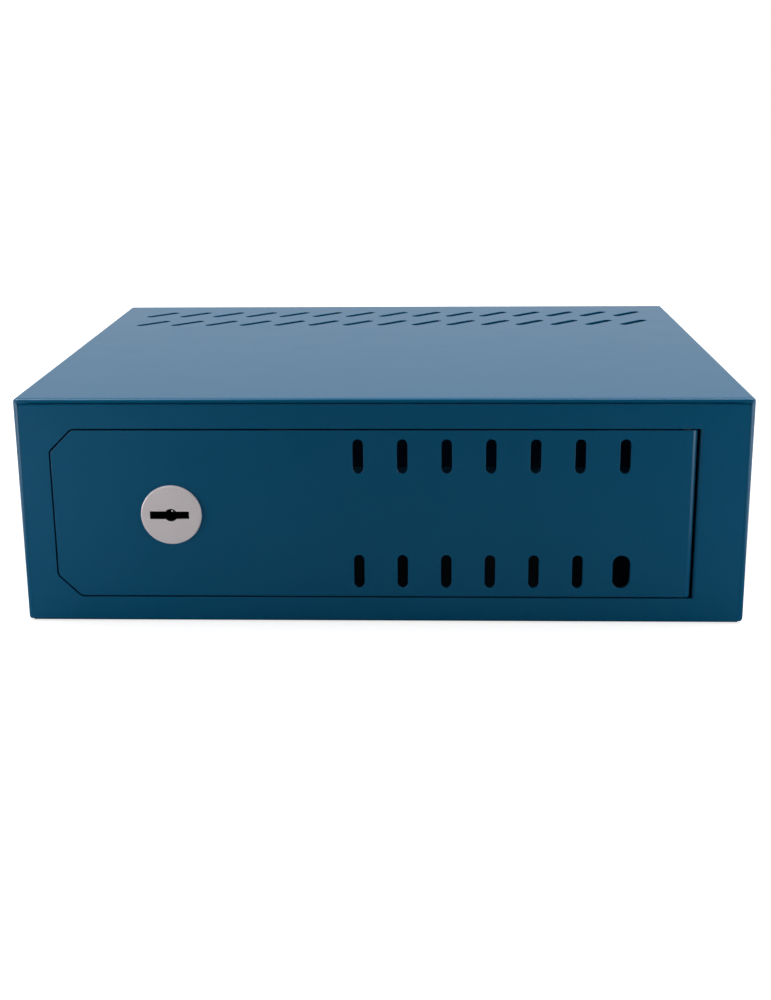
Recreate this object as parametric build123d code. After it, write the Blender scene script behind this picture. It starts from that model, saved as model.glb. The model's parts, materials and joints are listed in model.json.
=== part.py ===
from build123d import *
import os
from math import asin, cos, pi, radians, sin, sqrt

# Lock box for a video recorder: a steel wrap over a bent tray, with a keyed door in the front plate.
# Millimetres. Origin: middle of the footprint, on the surface that the box stands on.
# X runs to the right seen from the front, Y runs to the back, Z runs up.

# Box
width = 415.0
depth = 320.0
height = 133.0
wrap_sheet = 3.0
sheet = 2.5
bend_inside = 0.4
corner_round = 1.2
groove = 0.3
plate_corner = 1.6
lip_round = 0.8
foot_round = 2.2
wrap_lift = 1.2

# Door opening in the front plate, measured from the outside of the box
left_margin = 18.75
right_margin = 29.8
top_margin = 17.4
bottom_margin = 14.85
corner_cut = 13.2
corner_blend = 4.0
hinge_corner = 1.7
jamb_depth = 12.0

# Door
door_gap = 0.9
hinge_gap = 1.2
hinge_bend_inside = 1.0
fold_depth = 12.0
slot_length = 20.0
slot_width = 6.0
cable_slot_width = 10.0
slot_pitch = 25.0
slot_columns = 7
slot_row_margin = 15.2
slot_edge = 39.9

# Hinge
pin_radius = 2.5
pin_running_gap = 0.05
pin_to_fold = 0.2
pin_to_door = 0.5
pin_length = 24.0
lug_thickness = 4.0
lug_length = 14.0
lug_width = 18.0
lug_to_opening = 0.6
pin_end_gap = 0.5
pin_tip_bevel = 0.6

# Door stops behind the left stile
stop_thickness = 2.0
stop_height = 16.0
stop_on_stile = 12.0
stop_behind_door = 7.0
stop_gap = 0.2
stop_offset = 27.0

# Vents in the top
vent_length = 28.0
vent_width = 6.0
vent_angle = 45.0
vent_pitch = 25.0
vent_columns = 15
vent_rows_from_back = (38.2, 75.3)

# Fixing holes and cable outlets
fixing_hole_radius = 3.5
base_holes_x = 340.0
base_holes_y = 240.0
back_holes_x = 300.0
back_holes_z = 64.0
back_holes_height = 76.0
outlet_radius = 19.0
outlet_x = 85.0
outlet_z = 52.0
grommet_bore = 15.0
grommet_flange = 2.0
grommet_lip = 4.0
grommet_bevel = 0.7
grommet_neck_gap = 0.1

# Lock, measured from the middle of the keyhole; depths run back from the rear face of the door
lock_inset = 67.45
rosette_radius = 17.35
rosette_thickness = 2.0
rosette_bevel = 0.5
shank_radius = 14.0
shank_flats = 26.0
shank_depth = 3.5
shank_gap = 0.1
clip_thickness = 1.0
clip_width = 3.2
clip_groove = 1.4
clip_gap_angle = 50.0
key_long_arm = 12.1
key_short_arm = 10.3
key_long_width = 4.7
key_short_width = 4.4
key_hub_radius = 3.8
key_corner = 0.4
case_left = 42.5
case_right = 33.5
case_half_height = 22.0
case_wall = 1.5
case_depth = 16.0
case_corner = 4.0
boss_radius = 3.2
boss_sink = 0.6
ear_radius = 6.0
ear_reach = 6.0
ear_thickness = 2.0
ear_left = -28.0
ear_right = 20.0
stud_radius = 2.0
stud_length = 9.0
stud_gap = 0.3
washer_radius = 4.5
washer_thickness = 0.8
nut_flats = 7.0
nut_height = 3.2
nut_gap = 0.05
cover_thickness = 1.5
screw_radius = 1.45
screw_length = 6.0
screw_head_radius = 2.75
screw_head_height = 1.6
screw_gap = 0.05

# Key barrel, its spindle and its crank pin
barrel_radius = 9.0
barrel_seat_depth = 1.5
barrel_end_gap = 0.1
barrel_web = 2.5
running_gap = 0.05
spindle_radius = 1.6
spindle_tip_depth = 2.5
press_gap = 0.01
bolt_throw = 14.0
layer_gap = 0.4

# Levers
lever_count = 3
lever_thickness = 1.2
lever_drop = 4.0
lever_window = 12.8
lever_rim = 4.4
lever_eye = 5.0
lever_post_x = 27.0
post_radius = 3.0
post_end_radius = 2.0
lever_tail_top = 10.0
lever_tail_bottom = 6.0
pocket_side_gap = 0.6
gate_gap = 0.25
pocket_rise = 4.8
lever_end_wall = 2.4
spring_thickness = 0.4
spring_width = 0.9
spring_root_x = 9.0
spring_tip_x = -20.0
spring_sink = 1.2
spring_bow = 0.28
spring_gap = 0.1
spring_end_gap = 0.3

# Bolt
bolt_height = 18.0
bolt_plate = 3.0
bolt_to_stile = 0.8
bolt_setback = 2.35
bolt_head_to_case = 1.1
bolt_window_gap = 0.3
bolt_tail_reach = 18.0
bolt_nose_round = 1.5
stump_radius = 2.0
stump_x = -22.0
stump_reach = 0.2
crank_side_gap = 0.15

# Places worked out from the sizes
front = -depth / 2
back = depth / 2
side = width / 2
plate_back = front + sheet
bend_outside = bend_inside + sheet
plate_half = side - wrap_sheet - groove
plate_top = height - wrap_sheet - groove
open_left = -side + left_margin
open_right = side - right_margin
open_top = height - top_margin
open_bottom = bottom_margin
door_left = open_left + door_gap
door_right = open_right - hinge_gap
door_top = open_top - door_gap
door_bottom = open_bottom + door_gap
door_middle = (door_top + door_bottom) / 2
pin_x = door_right - sheet - pin_to_fold - pin_radius
pin_y = plate_back + pin_to_door + pin_radius
lock_x = door_left + lock_inset
lock_z = door_middle
crank_radius = bolt_throw / 2
lever_front = shank_depth + layer_gap
lever_pitch = lever_thickness + layer_gap
levers_end = lever_front + lever_count * lever_pitch
barrel_front = shank_depth - barrel_seat_depth + barrel_end_gap
barrel_back = levers_end + barrel_web
bolt_front = barrel_back + layer_gap
bolt_back = bolt_front + bolt_plate
bolt_tip = door_left + bolt_setback - lock_x
bolt_head_end = -case_left - case_wall - bolt_head_to_case
cover_front = case_depth
cover_back = case_depth + cover_thickness


def at_lock(x=0.0, z=0.0):
    """Place measured from the middle of the keyhole."""
    return Pos(lock_x + x, lock_z + z)


def slab(outline, start, end):
    """Outline drawn in X and Z, as a solid from y = start to y = end."""
    plane = Plane(origin=(0, end, 0), x_dir=(1, 0, 0), z_dir=(0, -1, 0))
    return extrude(plane * outline, end - start)


def lock_slab(outline, start, end):
    """Outline drawn in X and Z round the keyhole, between two depths behind the door."""
    return slab(at_lock() * outline, plate_back + start, plate_back + end)


def upright(x, y, radius, low, high):
    """Round bar along Z."""
    return Pos(x, y, (low + high) / 2) * Cylinder(radius, high - low)


def block(x, y, z):
    """Straight block between pairs of limits."""
    centre = Pos((x[0] + x[1]) / 2, (y[0] + y[1]) / 2, (z[0] + z[1]) / 2)
    return centre * Box(x[1] - x[0], y[1] - y[0], z[1] - z[0])


def rounded(points, rounds):
    """Closed outline through the points, with a radius at each corner named by its index."""
    face = make_face(Polyline(*points, close=True))
    for index, radius in rounds.items():
        corner = face.vertices().sort_by_distance((*points[index], 0))[0]
        face = fillet(corner, radius)
    return face


def opening_outline(inset, hinge_inset):
    """Door opening with its two cut-off corners, drawn in by a gap on each side."""
    left = open_left + inset
    right = open_right - hinge_inset
    top = open_top - inset
    bottom = open_bottom + inset
    cut = corner_cut - inset * (2 - sqrt(2))
    blend = corner_blend - inset
    corner = hinge_corner - inset
    points = [
        (left, bottom + cut),
        (left + cut, bottom),
        (right, bottom),
        (right, top),
        (left + cut, top),
        (left, top - cut),
    ]
    return rounded(points, {0: blend, 1: blend, 2: corner, 3: corner, 4: blend, 5: blend})


def outside_wrap(point):
    """Whether a point lies nearer to the outer skin of the wrap than to its inner skin."""
    half = wrap_sheet / 2
    return abs(point.X) > side - half or (point.Z > height - half and abs(point.X) < side)


def wrap_cover():
    """Top and both sides: one sheet with two bends and two rows of slanted vents.

    The sides end a little above the floor, so that the box stands on its base.
    """
    inner = side - wrap_sheet
    ceiling = height - wrap_sheet
    points = [
        (-side, wrap_lift),
        (-side, height),
        (side, height),
        (side, wrap_lift),
        (inner, wrap_lift),
        (inner, ceiling),
        (-inner, ceiling),
        (-inner, wrap_lift),
    ]
    rounds = {
        0: foot_round,
        1: corner_round,
        2: corner_round,
        3: foot_round,
        5: bend_inside,
        6: bend_inside,
    }
    body = slab(rounded(points, rounds), front, back)
    ends = body.edges().group_by(Axis.Y)
    rims = [edge for edge in ends[0] + ends[-1] if outside_wrap(edge.center())]
    body = fillet(rims, lip_round)
    first = -vent_pitch * (vent_columns - 1) / 2
    vents = Sketch()
    for from_back in vent_rows_from_back:
        for column in range(vent_columns):
            place = Pos(first + column * vent_pitch, back - from_back)
            vents += place * SlotOverall(vent_length, vent_width, rotation=vent_angle)
    return body - extrude(Pos(0, 0, height + 1) * vents, -(wrap_sheet + 2))


def jamb():
    """Hinge side of the opening, folded back so that the door's edge can swing past it."""
    root = open_right + bend_outside
    points = [
        (open_right, front),
        (root, front),
        (root, plate_back),
        (open_right + sheet, plate_back),
        (open_right + sheet, front + jamb_depth),
        (open_right, front + jamb_depth),
    ]
    outline = rounded(points, {0: bend_outside, 3: bend_inside / 2})
    return Pos(0, 0, open_bottom) * extrude(outline, open_top - open_bottom)


def tray_sheet():
    """Front, base and back bent from one sheet, a little narrower than the inside of the wrap."""
    points = [
        (front, plate_top),
        (front, 0),
        (back, 0),
        (back, plate_top),
        (back - sheet, plate_top),
        (back - sheet, sheet),
        (plate_back, sheet),
        (plate_back, plate_top),
    ]
    rounds = {1: corner_round, 2: corner_round, 5: bend_inside, 6: bend_inside}
    start = Plane(origin=(-plate_half, 0, 0), x_dir=(0, 1, 0), z_dir=(1, 0, 0))
    body = extrude(start * rounded(points, rounds), 2 * plate_half)
    uprights = body.edges().filter_by(Axis.Y).group_by(Axis.Z)[-1]
    return fillet(uprights, plate_corner)


def chassis_tray():
    """Tray with the door opening, its fixing holes and its two cable outlets."""
    body = tray_sheet()
    rim = body.faces().sort_by(Axis.Y)[0].outer_wire().edges()
    upper = [edge for edge in rim if edge.center().Z > corner_round + 1]
    body = fillet(upper, lip_round)
    opening = opening_outline(0, 0)
    body -= slab(opening, front - 1, plate_back + 1)
    reach = (open_right - 1, open_right + bend_outside)
    body -= block(reach, (front - 1, plate_back + 1), (open_bottom, open_top))
    body += jamb()
    holes = Sketch()
    for x in (-base_holes_x / 2, base_holes_x / 2):
        for y in (-base_holes_y / 2, base_holes_y / 2):
            holes += Pos(x, y) * Circle(fixing_hole_radius)
    body -= extrude(Pos(0, 0, -1) * holes, sheet + 2)
    holes = Sketch()
    for x in (-back_holes_x / 2, back_holes_x / 2):
        for z in (-back_holes_z / 2, back_holes_z / 2):
            holes += Pos(x, back_holes_height + z) * Circle(fixing_hole_radius)
    for x in (-outlet_x, outlet_x):
        holes += Pos(x, outlet_z) * Circle(outlet_radius)
    return body - slab(holes, back - sheet - 1, back + 1)


def cable_grommet(x):
    """Rubber ring that grips the edge of one cable outlet."""
    place = Pos(x, outlet_z)
    flange = place * Circle(outlet_radius + grommet_lip)
    neck = place * Circle(outlet_radius - grommet_neck_gap)
    body = slab(flange, back - sheet - grommet_flange, back - sheet)
    body += slab(neck, back - sheet, back)
    body += slab(flange, back, back + grommet_flange)
    rims = body.edges().filter_by(GeomType.CIRCLE).sort_by(Axis.Y)
    body = chamfer([rims[0], rims[-1]], grommet_bevel)
    bore = place * Circle(grommet_bore)
    return body - slab(bore, back - sheet - grommet_flange - 1, back + grommet_flange + 1)


def hinge_lug(low):
    """Ear welded behind the front plate, with the bore that a hinge pin turns in."""
    outline = Pos(pin_x, plate_back + lug_length / 2) * Rectangle(lug_width, lug_length)
    body = Pos(0, 0, low) * extrude(outline, lug_thickness)
    body = fillet(body.edges().filter_by(Axis.Z).group_by(Axis.Y)[-1], lug_width / 4)
    bore = pin_radius + pin_running_gap
    return body - upright(pin_x, pin_y, bore, low - 1, low + lug_thickness + 1)


def hinge_pin(low, high):
    """Pin welded in the corner of the door's fold, with both ends bevelled."""
    body = upright(pin_x, pin_y, pin_radius, low, high)
    return chamfer(body.edges().filter_by(GeomType.CIRCLE), pin_tip_bevel)


def door_stop(middle):
    """Tab on the back of the stile, stepped back so that the closed door rests on it."""
    start = open_left - stop_on_stile
    step = open_left - stop_gap
    end = door_left + stop_behind_door
    rear = plate_back + stop_thickness
    points = [
        (start, plate_back),
        (step - stop_gap, plate_back),
        (step, plate_back + stop_gap),
        (end, plate_back + stop_gap),
        (end, rear + stop_gap),
        (step, rear + stop_gap),
        (step - stop_gap, rear),
        (start, rear),
    ]
    outline = make_face(Polyline(*points, close=True))
    return Pos(0, 0, middle - stop_height / 2) * extrude(outline, stop_height)


def door_slots():
    """Two rows of air slots; the last one of the lower row is wider and lets a thin cable through."""
    slots = Sketch()
    for column in range(slot_columns):
        x = door_right - slot_edge - column * slot_pitch
        lower = cable_slot_width if column == 0 else slot_width
        rows = {door_bottom + slot_row_margin: lower, door_top - slot_row_margin: slot_width}
        for z, across in rows.items():
            slots += Pos(x, z) * SlotOverall(slot_length, across, rotation=90)
    return slots


def shank_outline(gap):
    """Round hole or shank with two flats that keep the rosette from turning."""
    flats = Rectangle(2 * (shank_radius + gap), shank_flats + 2 * gap)
    return Circle(shank_radius + gap) & flats


def door_panel():
    """Door plate with its lock-side corners cut off and its hinge side folded back."""
    inner = door_right - sheet
    points = [
        (door_left, front),
        (door_right, front),
        (door_right, front + fold_depth),
        (inner, front + fold_depth),
        (inner, plate_back),
        (door_left, plate_back),
    ]
    folded = rounded(points, {1: hinge_bend_inside + sheet, 4: hinge_bend_inside})
    body = Pos(0, 0, door_bottom) * extrude(folded, door_top - door_bottom)
    body &= slab(opening_outline(door_gap, hinge_gap), front - 1, front + fold_depth + 1)
    body -= slab(door_slots(), front - 1, plate_back + 1)
    return body - slab(at_lock() * shank_outline(shank_gap), front - 1, plate_back + 1)


def keyway():
    """Keyhole: a round middle with a long arm and a short arm, for a key with two bits."""
    long_arm = Pos(-key_long_arm / 2, 0) * RectangleRounded(key_long_arm, key_long_width, key_corner)
    short_arm = Pos(key_short_arm / 2, 0) * RectangleRounded(key_short_arm, key_short_width, key_corner)
    return Circle(key_hub_radius) + long_arm + short_arm


def lock_rosette():
    """Disc on the door's face, with a shank through the door that carries the front of the barrel."""
    disc = slab(at_lock() * Circle(rosette_radius), front - rosette_thickness, front)
    rim = disc.edges().filter_by(GeomType.CIRCLE).sort_by(Axis.Y)[0]
    body = chamfer(rim, rosette_bevel)
    body += slab(at_lock() * shank_outline(0), front, plate_back + shank_depth)
    groove_ring = Circle(shank_radius + 1) - Circle(shank_radius - clip_groove)
    body -= lock_slab(groove_ring, case_wall, case_wall + clip_thickness)
    seat = Circle(barrel_radius + running_gap)
    body -= lock_slab(seat, shank_depth - barrel_seat_depth, shank_depth + 1)
    return body - slab(at_lock() * keyway(), front - rosette_thickness - 1, plate_back + shank_depth)


def rosette_clip():
    """Open spring ring in the groove of the shank, which pulls the rosette against the door."""
    inside = shank_radius - clip_groove + running_gap
    ring = Circle(inside + clip_width) - Circle(inside)
    half = radians(clip_gap_angle / 2)
    reach = 2 * (inside + clip_width)
    wedge = make_face(Polyline((0, 0), (-reach * sin(half), -reach * cos(half)),
                               (reach * sin(half), -reach * cos(half)), close=True))
    return lock_slab(ring - wedge, case_wall + press_gap, case_wall + clip_thickness - press_gap)


def ear_places():
    """Middles of the four ears of the lock case."""
    rise = case_half_height + case_wall + ear_reach
    return [(x, z) for x in (ear_left, ear_right) for z in (-rise, rise)]


def boss_places():
    """Middles of the four screw bosses in the corners of the lock case."""
    rise = case_half_height - boss_radius + boss_sink
    across = (-case_left + boss_radius - boss_sink, case_right - boss_radius + boss_sink)
    return [(x, z) for x in across for z in (-rise, rise)]


def case_outline(wall):
    """Rounded rectangle of the lock case, grown by a wall."""
    middle = (case_right - case_left) / 2
    across = case_left + case_right + 2 * wall
    radius = case_corner if wall else case_corner - case_wall
    return Pos(middle, 0) * RectangleRounded(across, 2 * (case_half_height + wall), radius)


def lock_case():
    """Open case with a floor against the door, four ears, corner bosses and the bolt's window."""
    body = lock_slab(case_outline(case_wall), 0, case_depth)
    body -= lock_slab(case_outline(0), case_wall, case_depth + 1)
    for x, z in ear_places():
        tab = Pos(x, z) * Circle(ear_radius)
        tab += Pos(x, z * (1 - ear_reach / abs(z) / 2)) * Rectangle(2 * ear_radius, ear_reach)
        body += lock_slab(tab, 0, ear_thickness)
        body -= lock_slab(Pos(x, z) * Circle(stud_radius + stud_gap), -1, ear_thickness + 1)
    for x, z in boss_places():
        body += lock_slab(Pos(x, z) * Circle(boss_radius), case_wall, case_depth)
        drill = Pos(x, z) * Circle(screw_radius + screw_gap)
        body -= lock_slab(drill, case_depth - screw_length, case_depth + 1)
    body -= lock_slab(shank_outline(shank_gap), -1, case_wall + 1)
    body -= lock_slab(Pos(lever_post_x, 0) * Circle(post_end_radius + press_gap), -1, case_wall + 1)
    window = Pos(-case_left - case_wall / 2, 0)
    window *= Rectangle(2 * case_wall, bolt_height + 2 * bolt_window_gap)
    return body - lock_slab(window, bolt_front - bolt_window_gap, bolt_back + bolt_window_gap)


def lock_cover():
    """Flat cover on the back of the case, with the rear bearing of the spindle."""
    body = lock_slab(case_outline(case_wall), cover_front, cover_back)
    for x, z in boss_places():
        drill = Pos(x, z) * Circle(screw_radius + screw_gap)
        body -= lock_slab(drill, cover_front - 1, cover_back + 1)
    body -= lock_slab(Circle(spindle_radius + running_gap), cover_front - 1, cover_back + 1)
    post_hole = Pos(lever_post_x, 0) * Circle(post_end_radius + press_gap)
    return body - lock_slab(post_hole, cover_front - 1, cover_back + 1)


def cover_screws():
    """Four pan-head screws that hold the cover."""
    screws = []
    for x, z in boss_places():
        shank = lock_slab(Pos(x, z) * Circle(screw_radius), cover_back - screw_length, cover_back)
        head = lock_slab(Pos(x, z) * Circle(screw_head_radius), cover_back, cover_back + screw_head_height)
        rim = head.edges().filter_by(GeomType.CIRCLE).sort_by(Axis.Y)[-1]
        screws.append(shank + chamfer(rim, screw_head_height / 3))
    return Compound(children=screws)


def lock_studs():
    """Four studs welded to the back of the door."""
    studs = [lock_slab(Pos(x, z) * Circle(stud_radius), 0, stud_length) for x, z in ear_places()]
    return Compound(children=[chamfer(stud.edges().sort_by(Axis.Y)[-1], stud_radius / 5) for stud in studs])


def lock_washers():
    """Four flat washers on the ears."""
    ring = Circle(washer_radius) - Circle(stud_radius + stud_gap)
    start = ear_thickness
    return Compound(children=[
        lock_slab(Pos(x, z) * ring, start, start + washer_thickness) for x, z in ear_places()
    ])


def lock_nuts():
    """Four hexagon nuts on the studs."""
    hexagon = RegularPolygon(nut_flats / 2, 6, major_radius=False) - Circle(stud_radius + nut_gap)
    start = ear_thickness + washer_thickness
    return Compound(children=[
        lock_slab(Pos(x, z) * hexagon, start, start + nut_height) for x, z in ear_places()
    ])


def lever_post():
    """Shouldered post that the levers turn on, held in the floor and the cover."""
    place = Pos(lever_post_x, 0)
    body = lock_slab(place * Circle(post_radius), case_wall, cover_front)
    return body + lock_slab(place * Circle(post_end_radius), 0, cover_back)


def key_barrel():
    """Barrel with a slot for the key, carried by the rosette in front and the spindle behind."""
    body = lock_slab(Circle(barrel_radius), barrel_front, barrel_back)
    slot = Circle(key_hub_radius) + Rectangle(3 * barrel_radius, key_long_width)
    body -= lock_slab(slot, barrel_front - 1, levers_end)
    holes = Circle(spindle_radius + press_gap) + Pos(crank_radius, 0) * Circle(spindle_radius + press_gap)
    return body - lock_slab(holes, levers_end - 1, barrel_back + 1)


def key_spindle():
    """Pin on the barrel's axis: its round tip guides the key and its tail turns in the cover."""
    body = lock_slab(Circle(spindle_radius), spindle_tip_depth, cover_back)
    tip = body.edges().filter_by(GeomType.CIRCLE).sort_by(Axis.Y)[0]
    return fillet(tip, spindle_radius * 0.8)


def crank_pin():
    """Pin on the back of the barrel that drives the bolt."""
    return lock_slab(Pos(crank_radius, 0) * Circle(spindle_radius), levers_end, bolt_back + layer_gap)


def spring_arc(half_thickness):
    """Curved band from the rim of a lever to the ceiling of the case."""
    ring_top = lever_window + lever_rim
    root = (spring_root_x, sqrt(ring_top ** 2 - spring_root_x ** 2) - spring_sink)
    tip = (spring_tip_x, case_half_height - spring_end_gap - spring_thickness / 2)
    middle = ((root[0] + tip[0]) / 2, tip[1] - spring_bow * (tip[1] - root[1]))
    line = ThreePointArc(root, middle, tip)
    return trace(line, 2 * half_thickness)


def lever():
    """Outline of one lever, lifted: an eye, a ring round the barrel and a gate for the stump."""
    ring = Circle(lever_window + lever_rim)
    neck = Pos(lever_post_x / 2, 0) * Rectangle(lever_post_x, 2 * lever_eye * 0.8)
    eye = Pos(lever_post_x, 0) * Circle(lever_eye)
    end = stump_x - bolt_throw - stump_radius - pocket_side_gap - lever_end_wall
    tail_middle = (lever_tail_top - lever_tail_bottom) / 2
    tail_height = lever_tail_top + lever_tail_bottom
    tail = Pos(end / 2, tail_middle) * RectangleRounded(-end, tail_height, 1.0)
    outline = ring + neck + eye + tail - Circle(lever_window)
    outline -= Pos(lever_post_x, 0) * Circle(post_radius + running_gap)
    half = stump_radius + pocket_side_gap
    gate_half = stump_radius + gate_gap
    gate = Pos(stump_x - bolt_throw / 2, 0) * Rectangle(bolt_throw + 2 * half, 2 * gate_half)
    for x in (stump_x, stump_x - bolt_throw):
        low = Pos(x, pocket_rise / 2) * Rectangle(2 * half, 2 * gate_half + pocket_rise)
        gate += low
    return outline - gate - spring_arc(spring_thickness / 2 + spring_gap)


def lever_span(index):
    """Depths of the front and back of one lever."""
    start = lever_front + index * lever_pitch
    return start, start + lever_thickness


def lever_spring(index):
    """Leaf spring of one lever, lying in a slit of its rim."""
    start, end = lever_span(index)
    middle = (start + end) / 2
    return lock_slab(spring_arc(spring_thickness / 2), middle - spring_width / 2, middle + spring_width / 2)


def bolt_outline():
    """Tail plate of the bolt with its slots for the spindle and the crank pin."""
    tail = Pos((bolt_tip + bolt_tail_reach) / 2, 0) * Rectangle(bolt_tail_reach - bolt_tip, bolt_height)
    half = spindle_radius + crank_side_gap
    tail -= Pos(bolt_throw / 2, 0) * Rectangle(bolt_throw + 2 * half, 2 * half)
    widest = asin(2 / pi)
    drift = crank_radius * (cos(widest) + 2 / pi * widest - 1)
    top = crank_radius + half
    yoke = Rectangle(2 * (half + drift), top + half)
    return tail - Pos(crank_radius, (top - half) / 2) * yoke


def bolt():
    """Bolt with a thick head outside the case and a slotted tail plate inside it."""
    body = lock_slab(bolt_outline(), bolt_front, bolt_back)
    head = Pos((bolt_tip + bolt_head_end) / 2, 0) * Rectangle(bolt_head_end - bolt_tip, bolt_height)
    body += lock_slab(head, bolt_to_stile, bolt_back)
    nose = body.faces().sort_by(Axis.X)[0].edges()
    body = fillet(nose, bolt_nose_round)
    return body - lock_slab(Pos(stump_x, 0) * Circle(stump_radius + press_gap), bolt_front - 1, bolt_back + 1)


def bolt_stump():
    """Round stump riveted in the bolt, which runs through the gates of the levers."""
    return lock_slab(Pos(stump_x, 0) * Circle(stump_radius), lever_front - stump_reach, bolt_back)


def lever_plate(index):
    """One lever, cut from its outline."""
    return lock_slab(lever(), *lever_span(index))


os.makedirs("parts", exist_ok=True)
upper_lug = open_top + lug_to_opening
lower_lug = open_bottom - lug_to_opening - lug_thickness
pin_top = upper_lug + lug_thickness - pin_end_gap
pin_bottom = lower_lug + pin_end_gap
nodes = {
    "wrap_cover": wrap_cover(),
    "chassis_tray": chassis_tray(),
    "cable_grommet_left": cable_grommet(-outlet_x),
    "cable_grommet_right": cable_grommet(outlet_x),
    "hinge_lug_upper": hinge_lug(upper_lug),
    "hinge_lug_lower": hinge_lug(lower_lug),
    "door_stop_upper": door_stop(door_middle + stop_offset),
    "door_stop_lower": door_stop(door_middle - stop_offset),
    "door_panel": door_panel(),
    "hinge_pin_upper": hinge_pin(pin_top - pin_length, pin_top),
    "hinge_pin_lower": hinge_pin(pin_bottom, pin_bottom + pin_length),
    "lock_rosette": lock_rosette(),
    "rosette_clip": rosette_clip(),
    "lock_case": lock_case(),
    "lock_cover": lock_cover(),
    "cover_screws": cover_screws(),
    "lock_studs": lock_studs(),
    "lock_washers": lock_washers(),
    "lock_nuts": lock_nuts(),
    "lever_post": lever_post(),
    "key_barrel": key_barrel(),
    "key_spindle": key_spindle(),
    "crank_pin": crank_pin(),
    "bolt": bolt(),
    "bolt_stump": bolt_stump(),
}
for index in range(lever_count):
    nodes[f"lever_{index + 1}"] = lever_plate(index)
    nodes[f"lever_spring_{index + 1}"] = lever_spring(index)
for name, shape in nodes.items():
    export_step(shape, f"parts/{name}.step")
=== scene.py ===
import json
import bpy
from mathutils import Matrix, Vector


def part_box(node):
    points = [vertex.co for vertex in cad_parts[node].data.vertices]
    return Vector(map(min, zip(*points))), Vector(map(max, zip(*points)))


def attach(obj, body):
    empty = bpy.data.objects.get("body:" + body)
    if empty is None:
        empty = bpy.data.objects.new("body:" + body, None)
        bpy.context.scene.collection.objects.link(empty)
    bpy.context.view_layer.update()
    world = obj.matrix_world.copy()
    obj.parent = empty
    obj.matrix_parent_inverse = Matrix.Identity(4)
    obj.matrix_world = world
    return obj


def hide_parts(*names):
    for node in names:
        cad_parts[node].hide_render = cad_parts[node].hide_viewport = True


bl_info = {
    "name": "Recorder Lock Box",
    "version": (1, 0, 0),
    "blender": (4, 5, 0),
    "location": "3D View > Sidebar > Lock Box",
    "description": "Bends the painted sheets of a recorder lock box, makes its lock and sets up a plain studio",
    "category": "Object",
}

import bmesh
import bpy
import numpy as np
from bpy.props import FloatProperty, FloatVectorProperty, IntProperty, PointerProperty
from mathutils import Matrix
from mathutils.geometry import delaunay_2d_cdt

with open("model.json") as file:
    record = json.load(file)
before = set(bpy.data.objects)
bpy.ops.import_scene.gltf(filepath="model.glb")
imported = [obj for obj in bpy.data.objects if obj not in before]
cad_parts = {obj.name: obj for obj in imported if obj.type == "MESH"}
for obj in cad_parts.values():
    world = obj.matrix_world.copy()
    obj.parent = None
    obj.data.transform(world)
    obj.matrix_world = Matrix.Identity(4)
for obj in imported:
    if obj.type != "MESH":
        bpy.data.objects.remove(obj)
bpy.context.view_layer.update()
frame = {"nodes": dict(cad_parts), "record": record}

FOLD_STEPS = 12
QUARTER = np.pi / 2
SHARP_EDGE = 0.00005
SAME_LINE = 1e-8
SHARP_ANGLE = np.radians(38)


def corners_of(node):
    """Lowest and highest corner of a node of the frame, as arrays."""
    low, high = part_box(node)
    return np.array(low), np.array(high)


wrap_low, wrap_high = corners_of("wrap_cover")
tray_low, tray_high = corners_of("chassis_tray")
door_low, door_high = corners_of("door_panel")
rosette_low, rosette_high = corners_of("lock_rosette")
LOCK = (rosette_low + rosette_high)[[0, 2]] / 2


def length(name, description, default):
    """A length in metres that a user can change."""
    return FloatProperty(name=name, description=description, default=default, min=0.0, precision=5, unit="LENGTH")


def share(name, description, default):
    """A number from nought to one."""
    return FloatProperty(name=name, description=description, default=default, min=0.0, max=1.0)


def watts(name, description, default):
    """Power of a lamp."""
    return FloatProperty(name=name, description=description, default=default, min=0.0)


def colour(name, description, default):
    """A colour in linear light."""
    return FloatVectorProperty(
        name=name, description=description, default=default, size=4, min=0.0, max=1.0, subtype="COLOR"
    )


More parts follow.
